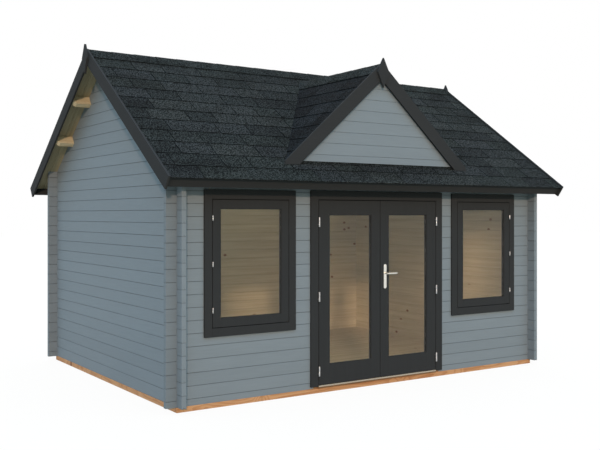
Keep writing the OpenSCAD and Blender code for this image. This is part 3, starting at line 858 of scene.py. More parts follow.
@dataclass
class Solids:
    """Arrays of one mesh that holds many closed solids.

    Attributes:
        points: places of the vertices, one row each.
        faces: rows of vertex numbers, as arrays of equal width.
        values: attributes by name, one row per vertex or one per face.
    """

    points: Array
    faces: list[Array]
    values: dict[str, Array]

    @staticmethod
    def slabs(points: Array, **values: Array) -> "Solids":
        """Close pairs of grids into slabs: top, bottom and the quads between their rims.

        Args:
            points: slabs by layer (lower, upper) by row by column by coordinate.
            values: attributes, one value per slab.

        Returns:
            The slabs, with the attribute rim set to 1 on the faces between the two layers.
        """
        count, _, rows, cols, _ = points.shape
        size = 2 * rows * cols
        low, top = np.arange(size).reshape(2, rows, cols)
        rim = np.concatenate([top[0, :-1], top[:-1, -1], top[-1, :0:-1], top[:0:-1, 0]])
        under = rim - rows * cols
        sides = np.stack([rim, under, np.roll(under, -1), np.roll(rim, -1)], -1)
        one = np.concatenate([grid_quads(top), grid_quads(low)[:, ::-1], sides])
        faces = (one[None] + np.arange(count)[:, None, None] * size).reshape(-1, 4)
        edge = np.tile(np.arange(len(one)) >= len(one) - len(sides), count).astype(np.float32)
        spread = {name: np.repeat(value, size) for name, value in values.items()}
        return Solids(points.reshape(-1, 3), [faces], {**spread, "rim": edge})

    @staticmethod
    def bars(points: Array, **values: Array) -> "Solids":
        """Carry closed outlines along paths and cap their ends.

        Args:
            points: bars by ring by outline point by coordinate.
            values: attributes, one row per vertex in the same order.

        Returns:
            The bars.
        """
        number = np.arange(points[..., 0].size).reshape(points.shape[:3])
        ahead = np.roll(number, -1, axis=2)
        quads = np.stack([number[:, :-1], ahead[:, :-1], ahead[:, 1:], number[:, 1:]], -1).reshape(-1, 4)
        caps = np.concatenate([number[:, 0, ::-1], number[:, -1]])
        return Solids(points.reshape(-1, 3), [quads, caps], values)

    @staticmethod
    def loops(points: Array) -> "Solids":
        """Carry closed outlines round closed paths, as in mitred frames.

        Args:
            points: frames by corner by outline point by coordinate.

        Returns:
            The frames.
        """
        number = np.arange(points[..., 0].size).reshape(points.shape[:3])
        ahead, onward = np.roll(number, -1, axis=2), np.roll(number, -1, axis=1)
        quads = np.stack([number, ahead, np.roll(ahead, -1, axis=1), onward], -1).reshape(-1, 4)
        return Solids(points.reshape(-1, 3), [quads], {})

    def merged(self, other: "Solids") -> "Solids":
        """Put two sets into one.

        Args:
            other: the set that follows.

        Returns:
            One set that holds these solids and the others.
        """
        values = {name: np.concatenate([value, other.values[name]]) for name, value in self.values.items()}
        faces = [*self.faces, *(rows + len(self.points) for rows in other.faces)]
        return Solids(np.concatenate([self.points, other.points]), faces, values)


@dataclass
class Piece:
    """A new piece of the house.

    Attributes:
        name: the object's name.
        solids: its mesh arrays.
        finish: its finish.
        slot: the record's slot for it; not used.
        body: the body that it rides on.
        stands_for: CAD nodes that it replaces.
        cut: a point and a normal; what lies behind that plane is cut away.
        smooth: True for rounded faces.
        sharp: angle in degrees from which their edges stay sharp.
    """

    name: str
    solids: Solids
    finish: Finish
    slot: Slot
    body: Body = Body.HOUSE
    stands_for: tuple[str, ...] = ()
    cut: Cut | None = None
    smooth: bool = False
    sharp: float = 35.0

    def make(self) -> None:
        """Build the object, dress it and let it ride on its body."""
        mesh = bpy.data.meshes.new(self.name)
        rows = [row for faces in self.solids.faces for row in faces.tolist()]
        mesh.from_pydata(self.solids.points.tolist(), [], rows)
        for name, value in self.solids.values.items():
            self.add_values(mesh, name, value)
        self.close(mesh)
        mesh.materials.append(self.finish.make())
        piece = add_object(self.name, mesh)
        if self.smooth:
            mesh.shade_smooth()
            mesh.set_sharp_from_angle(angle=math.radians(self.sharp))
        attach(piece, self.body.value)
        if self.stands_for:
            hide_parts(*self.stands_for)
        LOG.info("%s: %d faces on %s", self.name, len(mesh.polygons), self.body.value)

    @staticmethod
    def add_values(mesh: bpy.types.Mesh, name: str, value: Array) -> None:
        """Store an attribute on the mesh, on its faces or its points by the number of rows.

        Args:
            mesh: the mesh.
            name: the attribute's name.
            value: numbers, or rows of three.
        """
        domain = "FACE" if len(value) == len(mesh.polygons) else "POINT"
        kind, label = ("FLOAT_VECTOR", "vector") if value.ndim == 2 else ("FLOAT", "value")
        made = mesh.attributes.new(name, kind, domain)
        made.data.foreach_set(label, value.astype(np.float32).ravel())

    def close(self, mesh: bpy.types.Mesh) -> None:
        """Cut the mesh where the piece asks for it, close it and turn its faces outwards.

        Args:
            mesh: the mesh.
        """
        work = bmesh.new()
        work.from_mesh(mesh)
        if self.cut is not None:
            point, normal = self.cut
            geometry = [*work.verts, *work.edges, *work.faces]
            bmesh.ops.bisect_plane(work, geom=geometry, plane_co=point, plane_no=normal, clear_inner=True)
            bmesh.ops.holes_fill(work, edges=[edge for edge in work.edges if edge.is_boundary], sides=0)
        bmesh.ops.recalc_face_normals(work, faces=work.faces)
        work.to_mesh(mesh)
        work.free()


@dataclass(frozen=True)
class RoofPlane:
    """One slope of a roof.

    Attributes:
        facing: level direction in which it falls.
        pitch: its pitch in degrees.
        ridge_z: height of its ridge line.
    """

    facing: Facing
    pitch: float
    ridge_z: float

    @property
    def sine(self) -> float:
        """Return the sine of the pitch."""
        return math.sin(math.radians(self.pitch))

    @property
    def cosine(self) -> float:
        """Return the cosine of the pitch."""
        return math.cos(math.radians(self.pitch))

    @property
    def fall(self) -> float:
        """Return the fall per level distance, the tangent of the pitch."""
        return math.tan(math.radians(self.pitch))

    def height_at(self, level: Array) -> Array:
        """Return the slope's height at a level distance from the ridge."""
        return self.ridge_z - level * self.fall

    def level_at(self, z: Array) -> Array:
        """Return the level distance from the ridge at which the slope has a height."""
        return (self.ridge_z - z) / self.fall

    def place(self, along: Array, down: Array, out: Array) -> Array:
        """Work out points of the slope.

        The level distance from the ridge is down times the cosine of the pitch plus out times its sine.
        The height is the ridge's less down times the sine plus out times the cosine.

        Args:
            along: places along the ridge.
            down: distances down the slope from the ridge line.
            out: heights over the slope, square to it.

        Returns:
            The points, with the coordinates in the last axis.
        """
        level = down * self.cosine + out * self.sine
        z = self.ridge_z - down * self.sine + out * self.cosine
        east, north = self.facing.value
        return points_of(along, north * level, z) if north else points_of(east * level, along, z)

    def cut(self, out: float) -> Cut:
        """Lay a plane over the slope that cuts what stands on it.

        Args:
            out: height of the plane over the slope.

        Returns:
            A point of the plane and its normal.
        """
        east, north = self.facing.value
        upwards = np.array([east * self.sine, north * self.sine, self.cosine])
        return self.place(*np.array([0.0, 0.0, out])), upwards


ROOF_PITCH = 35.0
GABLE_PITCH = 41.5
SHINGLE_T = 0.008
END_GAP = 0.001
GABLE_RUN_DOWN, GABLE_RUN_BACK = 0.02, 0.1  # how far the front gable's tabs run on under the cut
SHINGLES_LOW, SHINGLES_HIGH = node_box("front_shingles")
FRONT_PLANE = RoofPlane(Facing.FRONT, ROOF_PITCH, float(SHINGLES_HIGH[2]))
BACK_PLANE = RoofPlane(Facing.BACK, ROOF_PITCH, float(SHINGLES_HIGH[2]))
EAVES_DOWN = float(-SHINGLES_LOW[1]) / FRONT_PLANE.cosine
ROOF_HALF = float(SHINGLES_HIGH[0])
PANEL_LOW, PANEL_HIGH = node_box("gable_panel")
PANEL_PLANE = RoofPlane(Facing.LEFT, GABLE_PITCH, float(PANEL_HIGH[2]))


@dataclass
class ShingleSlope:
    """Shingle tabs that cover one or two slopes, course over course from the eaves to the ridge.

    Attributes:
        name: name of the piece.
        planes: the slopes that it covers.
        start, end: ends of the courses along the ridge.
        eaves: distance of the lowest edge down the slope.
        seed: seed of the tab widths and tones.
        stands_for: CAD nodes that it replaces.
        cut: plane that cuts it, if any.
        finish: finish of the tabs.
        exposure: visible length of a tab down the slope.
        lap: how far a tab runs on under the course above.
        narrow, wide: limits of the tab widths.
        sliver: least width of a tab at an end, against the narrowest.
        joint: gap between two tabs.
        crest: height of a tab's lower edge over the slope's own plane.
        step: height of a tab's lower edge over the course below.
        thin: thickness of a tab at its covered end.
        waves: limits of the number of waves across a tab.
        wave_down, wave_out: size of the waves down the slope and out of it.
        curl: most that the corners of a tab lift.
        ridge_gap: distance of the highest edges from the ridge line.
        bed: gap between the tabs and the underside of the layer.
        felt, starter: thickness of the felt under all tabs and of the strip along the eaves.
        strip: width of that strip.
        set_back: distance of felt and strip from the lowest edge.
        eaves_rim: share of the dark of a cut edge along the eaves.
        rows, cols: grid of a tab.
    """

    name: str
    planes: tuple[RoofPlane, ...]
    start: float
    end: float
    eaves: float
    seed: int
    stands_for: tuple[str, ...]
    cut: Cut | None = None
    finish: MineralShingle = SHINGLE
    exposure: float = 0.2
    lap: float = 0.03
    narrow: float = 0.26
    wide: float = 0.52
    sliver: float = 1 / 3
    joint: float = 0.008
    crest: float = 0.0008
    step: float = 0.005
    thin: float = 0.0006
    waves: tuple[float, float] = (0.6, 1.8)
    wave_down: float = 0.0016
    wave_out: float = 0.0005
    curl: float = 0.0016
    ridge_gap: float = 0.002
    bed: float = 0.0002
    felt: float = 0.0001
    starter: float = 0.0022
    strip: float = 0.16
    set_back: float = 0.003
    eaves_rim: float = 0.15
    rows: int = 4
    cols: int = 7

    def tab_places(self, draw: np.random.Generator) -> tuple[Array, Array, Array]:
        """Share each course out among tabs of drawn widths.

        Args:
            draw: the random generator.

        Returns:
            Start and end of each tab along the ridge, and its lower edge down the slope.
        """
        starts, ends, lows = [], [], []
        most = int((self.end - self.start) / self.narrow) + 2
        least = self.narrow * self.sliver
        for low in np.arange(self.eaves, self.lap, -self.exposure):
            widths = draw.uniform(self.narrow, self.wide, most)
            edges = self.start - draw.uniform(0.0, self.narrow) + np.cumsum(widths)
            edges = edges[(edges > self.start + least) & (edges < self.end - least)]
            edges = np.concatenate([[self.start], edges, [self.end]])
            starts.append(edges[:-1] + self.joint / 2)
            ends.append(edges[1:] - self.joint / 2)
            lows.append(np.full(len(edges) - 1, low))
        return np.concatenate(starts), np.concatenate(ends), np.concatenate(lows)

    def tabs(self, plane: RoofPlane, draw: np.random.Generator) -> Solids:
        """Work out the tabs of one slope as wedges.

        Across a tab u goes from 0 to 1, down it v. Its top falls from the crest at the lower edge by one
        step per exposure, its thickness grows with v from thin to the step, and small waves and lifted
        corners that grow with v make no two tabs alike.

        Args:
            plane: the slope.
            draw: the random generator.

        Returns:
            The tabs and the felt under them.
        """
        first, last, low = (row[:, None, None] for row in self.tab_places(draw))
        count = len(first)
        v, u = np.meshgrid(np.linspace(0, 1, self.rows), np.linspace(0, 1, self.cols), indexing="ij")
        limits = (self.waves, (0.0, 1.0), (0.0, self.curl))
        wave, phase, curl = (draw.uniform(*pair, (count, 1, 1)) for pair in limits)
        up_slope = np.minimum(self.exposure + self.lap, low - self.ridge_gap) * (1 - v)
        ripple = np.sin(2 * math.pi * (wave * u + phase)) * v
        down = low - up_slope + self.wave_down * ripple
        rest = self.crest - up_slope * self.step / self.exposure
        bottom = rest - self.thin - (self.step - 2 * self.thin) * v
        bottom = np.maximum(bottom, self.bed - SHINGLE_T)
        top = rest + self.wave_out * ripple + curl * (2 * u - 1) ** 4 * v**2
        top = np.maximum(top, bottom + self.thin)
        along = first + (last - first) * u
        points = np.stack([plane.place(along, down, out) for out in (bottom, top)], axis=1)
        made = Solids.slabs(points, tab=draw.uniform(0.0, 1.0, count))
        made.values["rim"].reshape(count, -1)[low.ravel() == self.eaves] *= self.eaves_rim
        return made.merged(self.underlay(plane))

    def underlay(self, plane: RoofPlane) -> Solids:
        """Work out the black felt under the tabs and the starter strip along the eaves, as flat slabs.

        Args:
            plane: the slope.

        Returns:
            Both slabs.
        """
        along = np.array([self.start, self.end])[None, :]
        sheets = []
        under = -SHINGLE_T
        for top, thick in ((self.ridge_gap, self.felt), (self.eaves - self.strip, self.starter)):
            down = np.array([top, self.eaves - self.set_back])[:, None]
            sheets.append([plane.place(along, down, np.array(out)) for out in (under, under + thick)])
        made = Solids.slabs(np.array(sheets), tab=np.zeros(len(sheets)))
        made.values["rim"] = 1.0 - (1.0 - self.eaves_rim) * made.values["rim"]
        return made

    def build(self) -> None:
        """Build the piece."""
        draw = np.random.default_rng(self.seed)
        solids = self.tabs(self.planes[0], draw)
        for plane in self.planes[1:]:
            solids = solids.merged(self.tabs(plane, draw))
        Piece(self.name, solids, self.finish, Slot.SHINGLE, stands_for=self.stands_for, cut=self.cut).make()


@dataclass
class RidgeCaps:
    """Bent shingle caps that lap along a ridge.

    Attributes:
        name: name of the piece.
        plane: one of the two slopes that meet at the ridge.
        start, end: ends of the row along the ridge.
        seed: seed of the tones.
        stands_for: CAD nodes that it replaces.
        cut: plane that cuts it, if any.
        half: width of a cap down each slope.
        sway: share by which that width changes along the row.
        sway_turns: steps of that change from cap to cap and along a cap.
        exposure: visible length of a cap.
        overlap: length of a cap against its visible length.
        bend: radius of the bend over the ridge.
        lift, edge_lift: height of a cap over the slopes, straight up, at the ridge and at its edges.
        lap_rise: how much a cap rises to lie on the next one.
        thick: thickness of a cap.
        tones: limits of the drawn tones.
        rim: share of the dark of a cut edge on its edges.
        rows, cols: grid of a cap.
    """

    name: str
    plane: RoofPlane
    start: float
    end: float
    seed: int
    stands_for: tuple[str, ...] = ()
    cut: Cut | None = None
    half: float = 0.15
    sway: float = 0.012
    sway_turns: tuple[float, float] = (9.0, 3.0)
    exposure: float = 0.24
    overlap: float = 1.12
    bend: float = 0.006
    lift: float = 0.015
    edge_lift: float = 0.0036
    lap_rise: float = 0.003
    thick: float = 0.003
    tones: tuple[float, float] = (0.05, 0.7)
    rim: float = 0.4
    rows: int = 15
    cols: int = 4

    def build(self) -> None:
        """Build the caps.

        Across a cap v goes from -1 to 1 and q is v times its half width. Its height falls from the ridge
        by the root of q squared plus the bend squared, times the sine of the pitch, and the lift over the
        slopes shrinks with v squared. Along it u goes from 0 to 1, and the cap rises towards its start so
        that it lies on the one before.
        """
        count = max(1, round((self.end - self.start) / self.exposure))
        pitch = (self.end - self.start) / count
        v, u = np.meshgrid(np.linspace(-1, 1, self.rows), np.linspace(0, 1, self.cols), indexing="ij")
        number = np.arange(count)[:, None, None]
        along = np.minimum(self.start + number * pitch + u * pitch * self.overlap, self.end)
        per_cap, per_length = self.sway_turns
        q = v * self.half * (1 + self.sway * np.sin(per_cap * number + per_length * u))
        fall = np.sqrt(q**2 + self.bend**2) * self.plane.sine
        lift = self.edge_lift + (self.lift - self.edge_lift) * (1 - v**2)
        top = self.plane.ridge_z + lift - fall + self.lap_rise * (1 - u)
        level = q * self.plane.cosine
        x, y = (along, level) if self.plane.facing.value[1] else (level, along)
        points = np.stack([points_of(x, y, z) for z in (top - self.thick, top)], axis=1)
        tabs = np.random.default_rng(self.seed).uniform(*self.tones, count)
        solids = Solids.slabs(points, tab=tabs)
        solids.values["rim"] *= self.rim
        Piece(self.name, solids, SHINGLE, Slot.SHINGLE, stands_for=self.stands_for, cut=self.cut).make()


def grain_shifts(draw: np.random.Generator, count: int, reach: float = 40.0) -> Array:
    """Draw a shift along the grain for each board, so that no two look alike."""
    return draw.uniform(0.0, reach, (count, 1, 1))


@dataclass
class Boards:
    """Boards side by side, with chamfers that make V joints.

    Attributes:
        target: width of a board, fitted so that whole boards fill the length.
        gap: gap between two boards.
        chamfer: chamfer on both edges of a board's face.
        seed: seed of the grain.
    """

    target: float
    gap: float
    chamfer: float
    seed: int

    def fitted(self, start: float, end: float) -> tuple[Array, float]:
        """Fill a length with boards of equal width.

        Args:
            start, end: ends of the length.

        Returns:
            The middles of the boards, shaped to spread over their points, and the width.
        """
        count = round((end - start) / self.target)
        width = (end - start) / count
        return (start + (np.arange(count) + 0.5) * width)[:, None, None], width

    def section(self, width: float, back: float, face: float) -> tuple[Array, Array]:
        """Outline a board.

        Args:
            width: its width with the gap.
            back, face: places of its plain back and of its chamfered face.

        Returns:
            Places of the outline's points across the board and through it.
        """
        half = (width - self.gap) / 2
        flat = half - self.chamfer
        edge = face + math.copysign(self.chamfer, back - face)
        across = np.array([-half, half, half, flat, -flat, -half])
        return across, np.array([back, back, edge, face, face, edge])


@dataclass
class RoofBoards(Boards):
    """Boards of the two main slopes, running from ridge to eaves with V joints below.

    Attributes:
        ridge_gap: level distance of the boards from the ridge line.
    """

    target: float = 0.112
    gap: float = 0.0006
    chamfer: float = 0.004
    seed: int = 11
    ridge_gap: float = 0.0002

    def build(self) -> None:
        """Build both slopes."""
        draw = np.random.default_rng(self.seed)
        for plane, node in ((FRONT_PLANE, "front_roof_boards"), (BACK_PLANE, "back_roof_boards")):
            self.slope(plane, node, draw)

    def slope(self, plane: RoofPlane, node: str, draw: np.random.Generator) -> None:
        """Build the boards of one slope.

        The outline of a board lies across the slope. It is carried down the slope from a plumb cut at the
        ridge, where the level distance from the ridge is nil, to the fascia.

        Args:
            plane: the slope.
            node: the CAD node that the boards stand for.
            draw: the random generator.
        """
        low, high = node_box(node)
        top = (high[2] - plane.ridge_z) * plane.cosine
        end = (max(-low[1], high[1]) - top * plane.sine) / plane.cosine
        middles, width = self.fitted(-ROOF_HALF, ROOF_HALF)
        across, out = self.section(width, top, self.underside(plane, node))
        ridge = (self.ridge_gap - out * plane.sine) / plane.cosine
        down = np.stack([ridge, np.full_like(ridge, end)])
        points = plane.place(middles + across, down, out)
        grain = points_of(down + grain_shifts(draw, len(middles)), across, out)
        solids = Solids.bars(points, grain=grain.reshape(-1, 3))
        name = node.replace("roof_boards", "soffit_boards")
        Piece(name, solids, SHADED_SOFFIT_PINE, Slot.BARE_PINE, stands_for=(node,)).make()

    @staticmethod
    def underside(plane: RoofPlane, node: str) -> float:
        """Measure how far the underside of the boards lies under the slope.

        Args:
            plane: the slope.
            node: the CAD node of the boards.

        Returns:
            That distance, as a negative height.
        """
        points = np.array([vertex.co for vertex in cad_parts[node].data.vertices])
        out = (points[:, 2] - plane.ridge_z) * plane.cosine + np.abs(points[:, 1]) * plane.sine
        return float(out.min())


@dataclass
class FloorPlanks(Boards):
    """Floor boards that run along the house, with fine V joints above."""

    target: float = 0.114
    gap: float = 0.0008
    chamfer: float = 0.0025
    seed: int = 23

    def build(self) -> None:
        """Build the planks: an outline across the plank, carried along X."""
        low, high = node_box("floor_boards")
        middles, width = self.fitted(low[1], high[1])
        across, z = self.section(width, low[2], high[2])
        x = np.array([low[0], high[0]])[:, None]
        shifts = grain_shifts(np.random.default_rng(self.seed), len(middles))
        grain = points_of(x + shifts, across, z)
        solids = Solids.bars(points_of(x, middles + across, z), grain=grain.reshape(-1, 3))
        Piece("floor_planks", solids, FLOOR_PINE, Slot.BARE_PINE, stands_for=("floor_boards",)).make()


@dataclass
class GablePanel:
    """Painted boards of the front gable's triangle, one over the other.

    Attributes:
        first: height of the lowest joint.
        gap: gap between two boards.
        chamfer: chamfer along the outer edges of a board.
        tip: half width at which the highest board ends.
        air: gap between the lowest board and the roof.
        seed: seed of the grain.
    """

    first: float = 2.2755
    gap: float = 0.0004
    chamfer: float = 0.0035
    tip: float = 0.004
    air: float = 0.0004
    seed: int = 31

    def build(self) -> None:
        """Build the boards: an outline in Y and Z, carried from one sloped end to the other.

        At the height z an end lies at the distance (top - z) / tan(pitch) from the middle.
        """
        highest = PANEL_PLANE.height_at(self.tip)
        joints = np.arange(self.first, highest, COURSE)
        under = np.concatenate([[PANEL_LOW[2]], joints])
        over = np.concatenate([joints, [highest]]) - self.gap
        front, back = PANEL_LOW[1], PANEL_HIGH[1]
        y = np.array([front, front + self.chamfer, back, back, front + self.chamfer, front])
        lift = np.array([self.chamfer, 0.0, 0.0])
        z = np.concatenate([under[:, None] + lift, over[:, None] - lift[::-1]], axis=1)
        z[0, :3] = FRONT_PLANE.height_at(-y[:3]) + self.air
        half = PANEL_PLANE.level_at(z)
        points = np.stack([points_of(side * half, y, z) for side in (-1, 1)], axis=1)
        shifts = grain_shifts(np.random.default_rng(self.seed), len(z))
        middle = (under + over)[:, None, None] / 2
        grain = np.stack([points[..., 0] + shifts, points[..., 2] - middle, points[..., 1]], axis=-1)
        solids = Solids.bars(points, grain=grain.reshape(-1, 3))
        Piece("gable_panel_boards", solids, PANEL_PAINT, Slot.WALL_PAINT, stands_for=("gable_panel",)).make()


@dataclass
class GableApron:
    """Shingle strip that is turned up against the foot of the front gable's panel.

    Attributes:
        rise: height of the strip against the panel.
        thick: its thickness.
        foot: reach of its foot in front of the panel.
        air: gap to the panel and the roof.
        tab: its tone among those of the tabs.
        rim: share of the dark of a cut edge on it.
    """

    rise: float = 0.014
    thick: float = 0.002
    foot: float = 0.02
    air: float = 0.0004
    tab: float = 0.2
    rim: float = 0.2

    def build(self) -> None:
        """Build the strip: an outline in Y and Z, carried along X between the bargeboards."""
        back, face, toe = (PANEL_LOW[1] - away for away in (self.air, self.air + self.thick, self.foot))
        y = np.array([back, back, face, face, toe, toe])
        over = np.array([0.0, self.rise, self.rise, self.thick, self.thick, 0.0])
        z = FRONT_PLANE.height_at(-y) + over + self.air + ShingleSlope.crest
        half = PANEL_PLANE.level_at(z)
        ring = np.stack([points_of(side * half, y, z) for side in (-1, 1)])
        solids = Solids.bars(ring[None], tab=np.full(ring[..., 0].size, self.tab))
        solids.values["rim"] = np.full(sum(len(rows) for rows in solids.faces), self.rim)
        Piece("gable_apron", solids, SHINGLE, Slot.SHINGLE).make()


@dataclass
class GlazingBeads:
    """Beads that hold the glass in its rebate, on both faces of every pane.

    Attributes:
        let_in: how far a pane is let into its groove.
        wide, high: section of a bead on the glass and on the edge of the opening.
        flat_wide, flat_high: shares of both that stay flat, beside the rounding.
        air: gap between bead and glass.
        turns: points of the rounding.
    """

    let_in: float = 0.0097
    wide: float = 0.004
    high: float = 0.006
    flat_wide: float = 1 / 3
    flat_high: float = 1 / 4
    air: float = 0.0003
    turns: int = 7

    def outline(self) -> tuple[Array, Array]:
        """Outline a bead: a quarter ellipse joins the two straight backs.

        Returns:
            Distances in from the edge of the opening, and distances from the glass.
        """
        angle = np.linspace(0, math.pi / 2, self.turns)
        inner = self.wide * (self.flat_wide + (1 - self.flat_wide) * np.sin(angle))
        outer = self.high * (self.flat_high + (1 - self.flat_high) * np.cos(angle))
        inwards = np.concatenate([[0.0], inner, [self.wide, 0.0]])
        return inwards, np.concatenate([[self.high], outer, [0.0, 0.0]]) + self.air

    def build(self) -> None:
        """Build the beads of each pane."""
        panes = {
            "left_window_glass": Body.HOUSE,
            "right_window_glass": Body.HOUSE,
            "left_door_glass": Body.LEFT_DOOR,
            "right_door_glass": Body.RIGHT_DOOR,
        }
        for node, body in panes.items():
            name = node.replace("glass", "glazing_beads")
            Piece(name, self.frames(node), TRIM_Z, Slot.TRIM_PAINT, body, smooth=True).make()

    def frames(self, node: str) -> Solids:
        """Carry the outline round the pane's opening, mitred at the four corners, on both faces.

        Args:
            node: the CAD node of the pane.

        Returns:
            Two frames.
        """
        low, high = node_box(node)
        inwards, outwards = self.outline()
        left, right = low[0] + self.let_in + inwards, high[0] - self.let_in - inwards
        foot, head = low[2] + self.let_in + inwards, high[2] - self.let_in - inwards
        corners = ((left, foot), (right, foot), (right, head), (left, head))
        faces = (low[1] - outwards, high[1] + outwards)
        return Solids.loops(np.array([[points_of(x, y, z) for x, z in corners] for y in faces]))


@dataclass
class LockFittings:
    """Lock cylinder and screws on the two handle plates.

    Attributes:
        below: distance of the cylinder under the lever's axis.
        round_r, foot_r: radius of the cylinder's round part and of its narrow foot.
        foot_drop: distance of the foot under the round part.
        sunk, proud: how far the cylinder reaches into the plate and out of it.
        edge, taper: depth of the cylinder's eased edge, and the size of its face against the rest.
        screw_r: radius of a screw head.
        screw_inset: distance of a screw from the end of the plate.
        dome: shares of a screw's radius, and heights over the plate.
        turns: points round a screw or an arc.
    """

    below: float = 0.072
    round_r: float = 0.0085
    foot_r: float = 0.005
    foot_drop: float = 0.0155
    sunk: float = 0.001
    proud: float = 0.003
    edge: float = 0.0008
    taper: float = 0.9
    screw_r: float = 0.004
    screw_inset: float = 0.018
    dome: tuple[tuple[float, float], ...] = ((1.0, -0.0005), (1.0, 0.0004), (0.8, 0.0011), (0.4, 0.0015))
    turns: int = 16

    def cylinder_outline(self) -> tuple[Array, Array]:
        """Outline the cylinder about its middle: a round head on a narrow foot.

        Returns:
            Places along X and Z.
        """
        lean = math.asin(self.foot_r / self.round_r)
        head = np.linspace(-math.pi / 2 + lean, 1.5 * math.pi - lean, self.turns)
        foot = np.linspace(math.pi, 2 * math.pi, self.turns // 2)
        x = np.concatenate([self.round_r * np.cos(head), self.foot_r * np.cos(foot)])
        return x, np.concatenate([self.round_r * np.sin(head), self.foot_r * np.sin(foot) - self.foot_drop])

    def build(self) -> None:
        """Build cylinders and screws: rings that shrink as they rise out of the two plates."""
        low, high = node_box("door_handle_plates")
        axis_x = (low[0] + high[0]) / 2
        axis_z = sum(corner[2] for corner in node_box("door_lever")) / 2 - self.below
        faces = ((low[1], -1.0), (high[1], 1.0))
        x, z = self.cylinder_outline()
        size = np.array([1.0, 1.0, self.taper])[:, None]
        out = np.array([-self.sunk, self.proud - self.edge, self.proud])[:, None]
        x, z = axis_x + x * size, axis_z + z * size
        solids = Solids.bars(np.array([points_of(x, face + way * out, z) for face, way in faces]))
        Piece("lock_cylinder", solids, NICKEL, Slot.HANDLE_METAL, Body.RIGHT_DOOR).make()
        angle = np.linspace(0, 2 * math.pi, self.turns, endpoint=False)
        share, out = np.array(self.dome).T[:, :, None]
        x, z = axis_x + self.screw_r * share * np.cos(angle), self.screw_r * share * np.sin(angle)
        levels = (low[2] + self.screw_inset, high[2] - self.screw_inset)
        places = [(face + way * out, level + z) for face, way in faces for level in levels]
        solids = Solids.bars(np.array([points_of(x, *place) for place in places]))
        Piece("plate_screws", solids, NICKEL, Slot.HANDLE_METAL, Body.RIGHT_DOOR, smooth=True).make()


@dataclass
class CadDress:
    """Finish and eased edges of the CAD nodes that show as they are.

    Attributes:
        weld: distance under which a node's loose corners are joined.
        angle: edges sharper than this many degrees are eased.
        segments: faces across an eased edge.
    """

    weld: float = 0.00002
    angle: float = 40.0
    segments: int = 2

    def build(self) -> None:
        """Dress the nodes."""
        for finish, ease, nodes in (
            (LONG_WALL, Ease.NONE, "front_wall_left front_wall_right front_wall_head back_wall"),
            (GABLE_WALL, Ease.NONE, "left_gable_wall right_gable_wall"),
            (TRIM_X, Ease.BOARD, "front_fascia back_fascia gable_bargeboards"),
            (TRIM_Y, Ease.BOARD, "left_bargeboards right_bargeboards"),
            (CASING, Ease.BOARD, "door_casing left_window_casing right_window_casing"),
            (TRIM_Z, Ease.FRAME, "door_frame left_window_frame right_window_frame"),
            (TRIM_Z, Ease.SASH, "left_door_leaf right_door_leaf left_window_sash right_window_sash"),
            (GLASS, Ease.NONE, "left_door_glass right_door_glass left_window_glass right_window_glass"),
            (ZINC, Ease.HINGE, "door_frame_hinges left_door_hinges right_door_hinges window_hinges"),
            (NICKEL, Ease.NONE, "door_lever"),
            (NICKEL, Ease.FRAME, "door_handle_plates"),
            (SHADED_SILL, Ease.FRAME, "door_threshold"),
            (BEARER_PINE, Ease.BEARER, "foundation_bearers"),
            (JOIST_PINE, Ease.BOARD, "floor_joists"),
            (PLANED_PINE, Ease.BOARD, "ridge_beam front_purlins back_purlins"),
            (GABLE_PINE, Ease.NONE, "gable_roof_boards"),
        ):
            for node in nodes.split():
                self.dress(node, finish, ease)

    def dress(self, node: str, finish: Finish, ease: Ease) -> None:
        """Give a node its finish, join its corners and ease its sharp edges.

        Args:
            node: the CAD node.
            finish: its finish.
            ease: width of its eased edges.
        """
        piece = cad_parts[node]
        piece.data.materials.clear()
        piece.data.materials.append(finish.make())
        if ease is not Ease.NONE:
            weld = piece.modifiers.new("weld", "WELD")
            weld.merge_threshold = self.weld
            bevel = piece.modifiers.new("ease", "BEVEL")
            bevel.width = ease.value
            bevel.segments = self.segments
            bevel.limit_method = "ANGLE"
            bevel.angle_limit = math.radians(self.angle)
        LOG.info("%s: %s", node, finish.name)


@dataclass(frozen=True)
class Lamp:
    """A distant lamp.

    Attributes:
        name: its name.
        colour: colour of its light.
        strength: strength of its light.
        stands: direction in which it stands.
        angle: its width in degrees.
    """

    name: str
    colour: Rgb
    strength: float
    stands: Vector
    angle: float

    def hang(self) -> None:
        """Add the lamp to the scene."""
        lamp = bpy.data.lights.new(self.name, "SUN")
        lamp.color = self.colour
        lamp.energy = self.strength
        lamp.angle = math.radians(self.angle)
        east, north, up = self.stands
        turn = (math.atan2(math.hypot(east, north), up), 0.0, math.atan2(east, -north))
        add_object(self.name, lamp).rotation_euler = turn


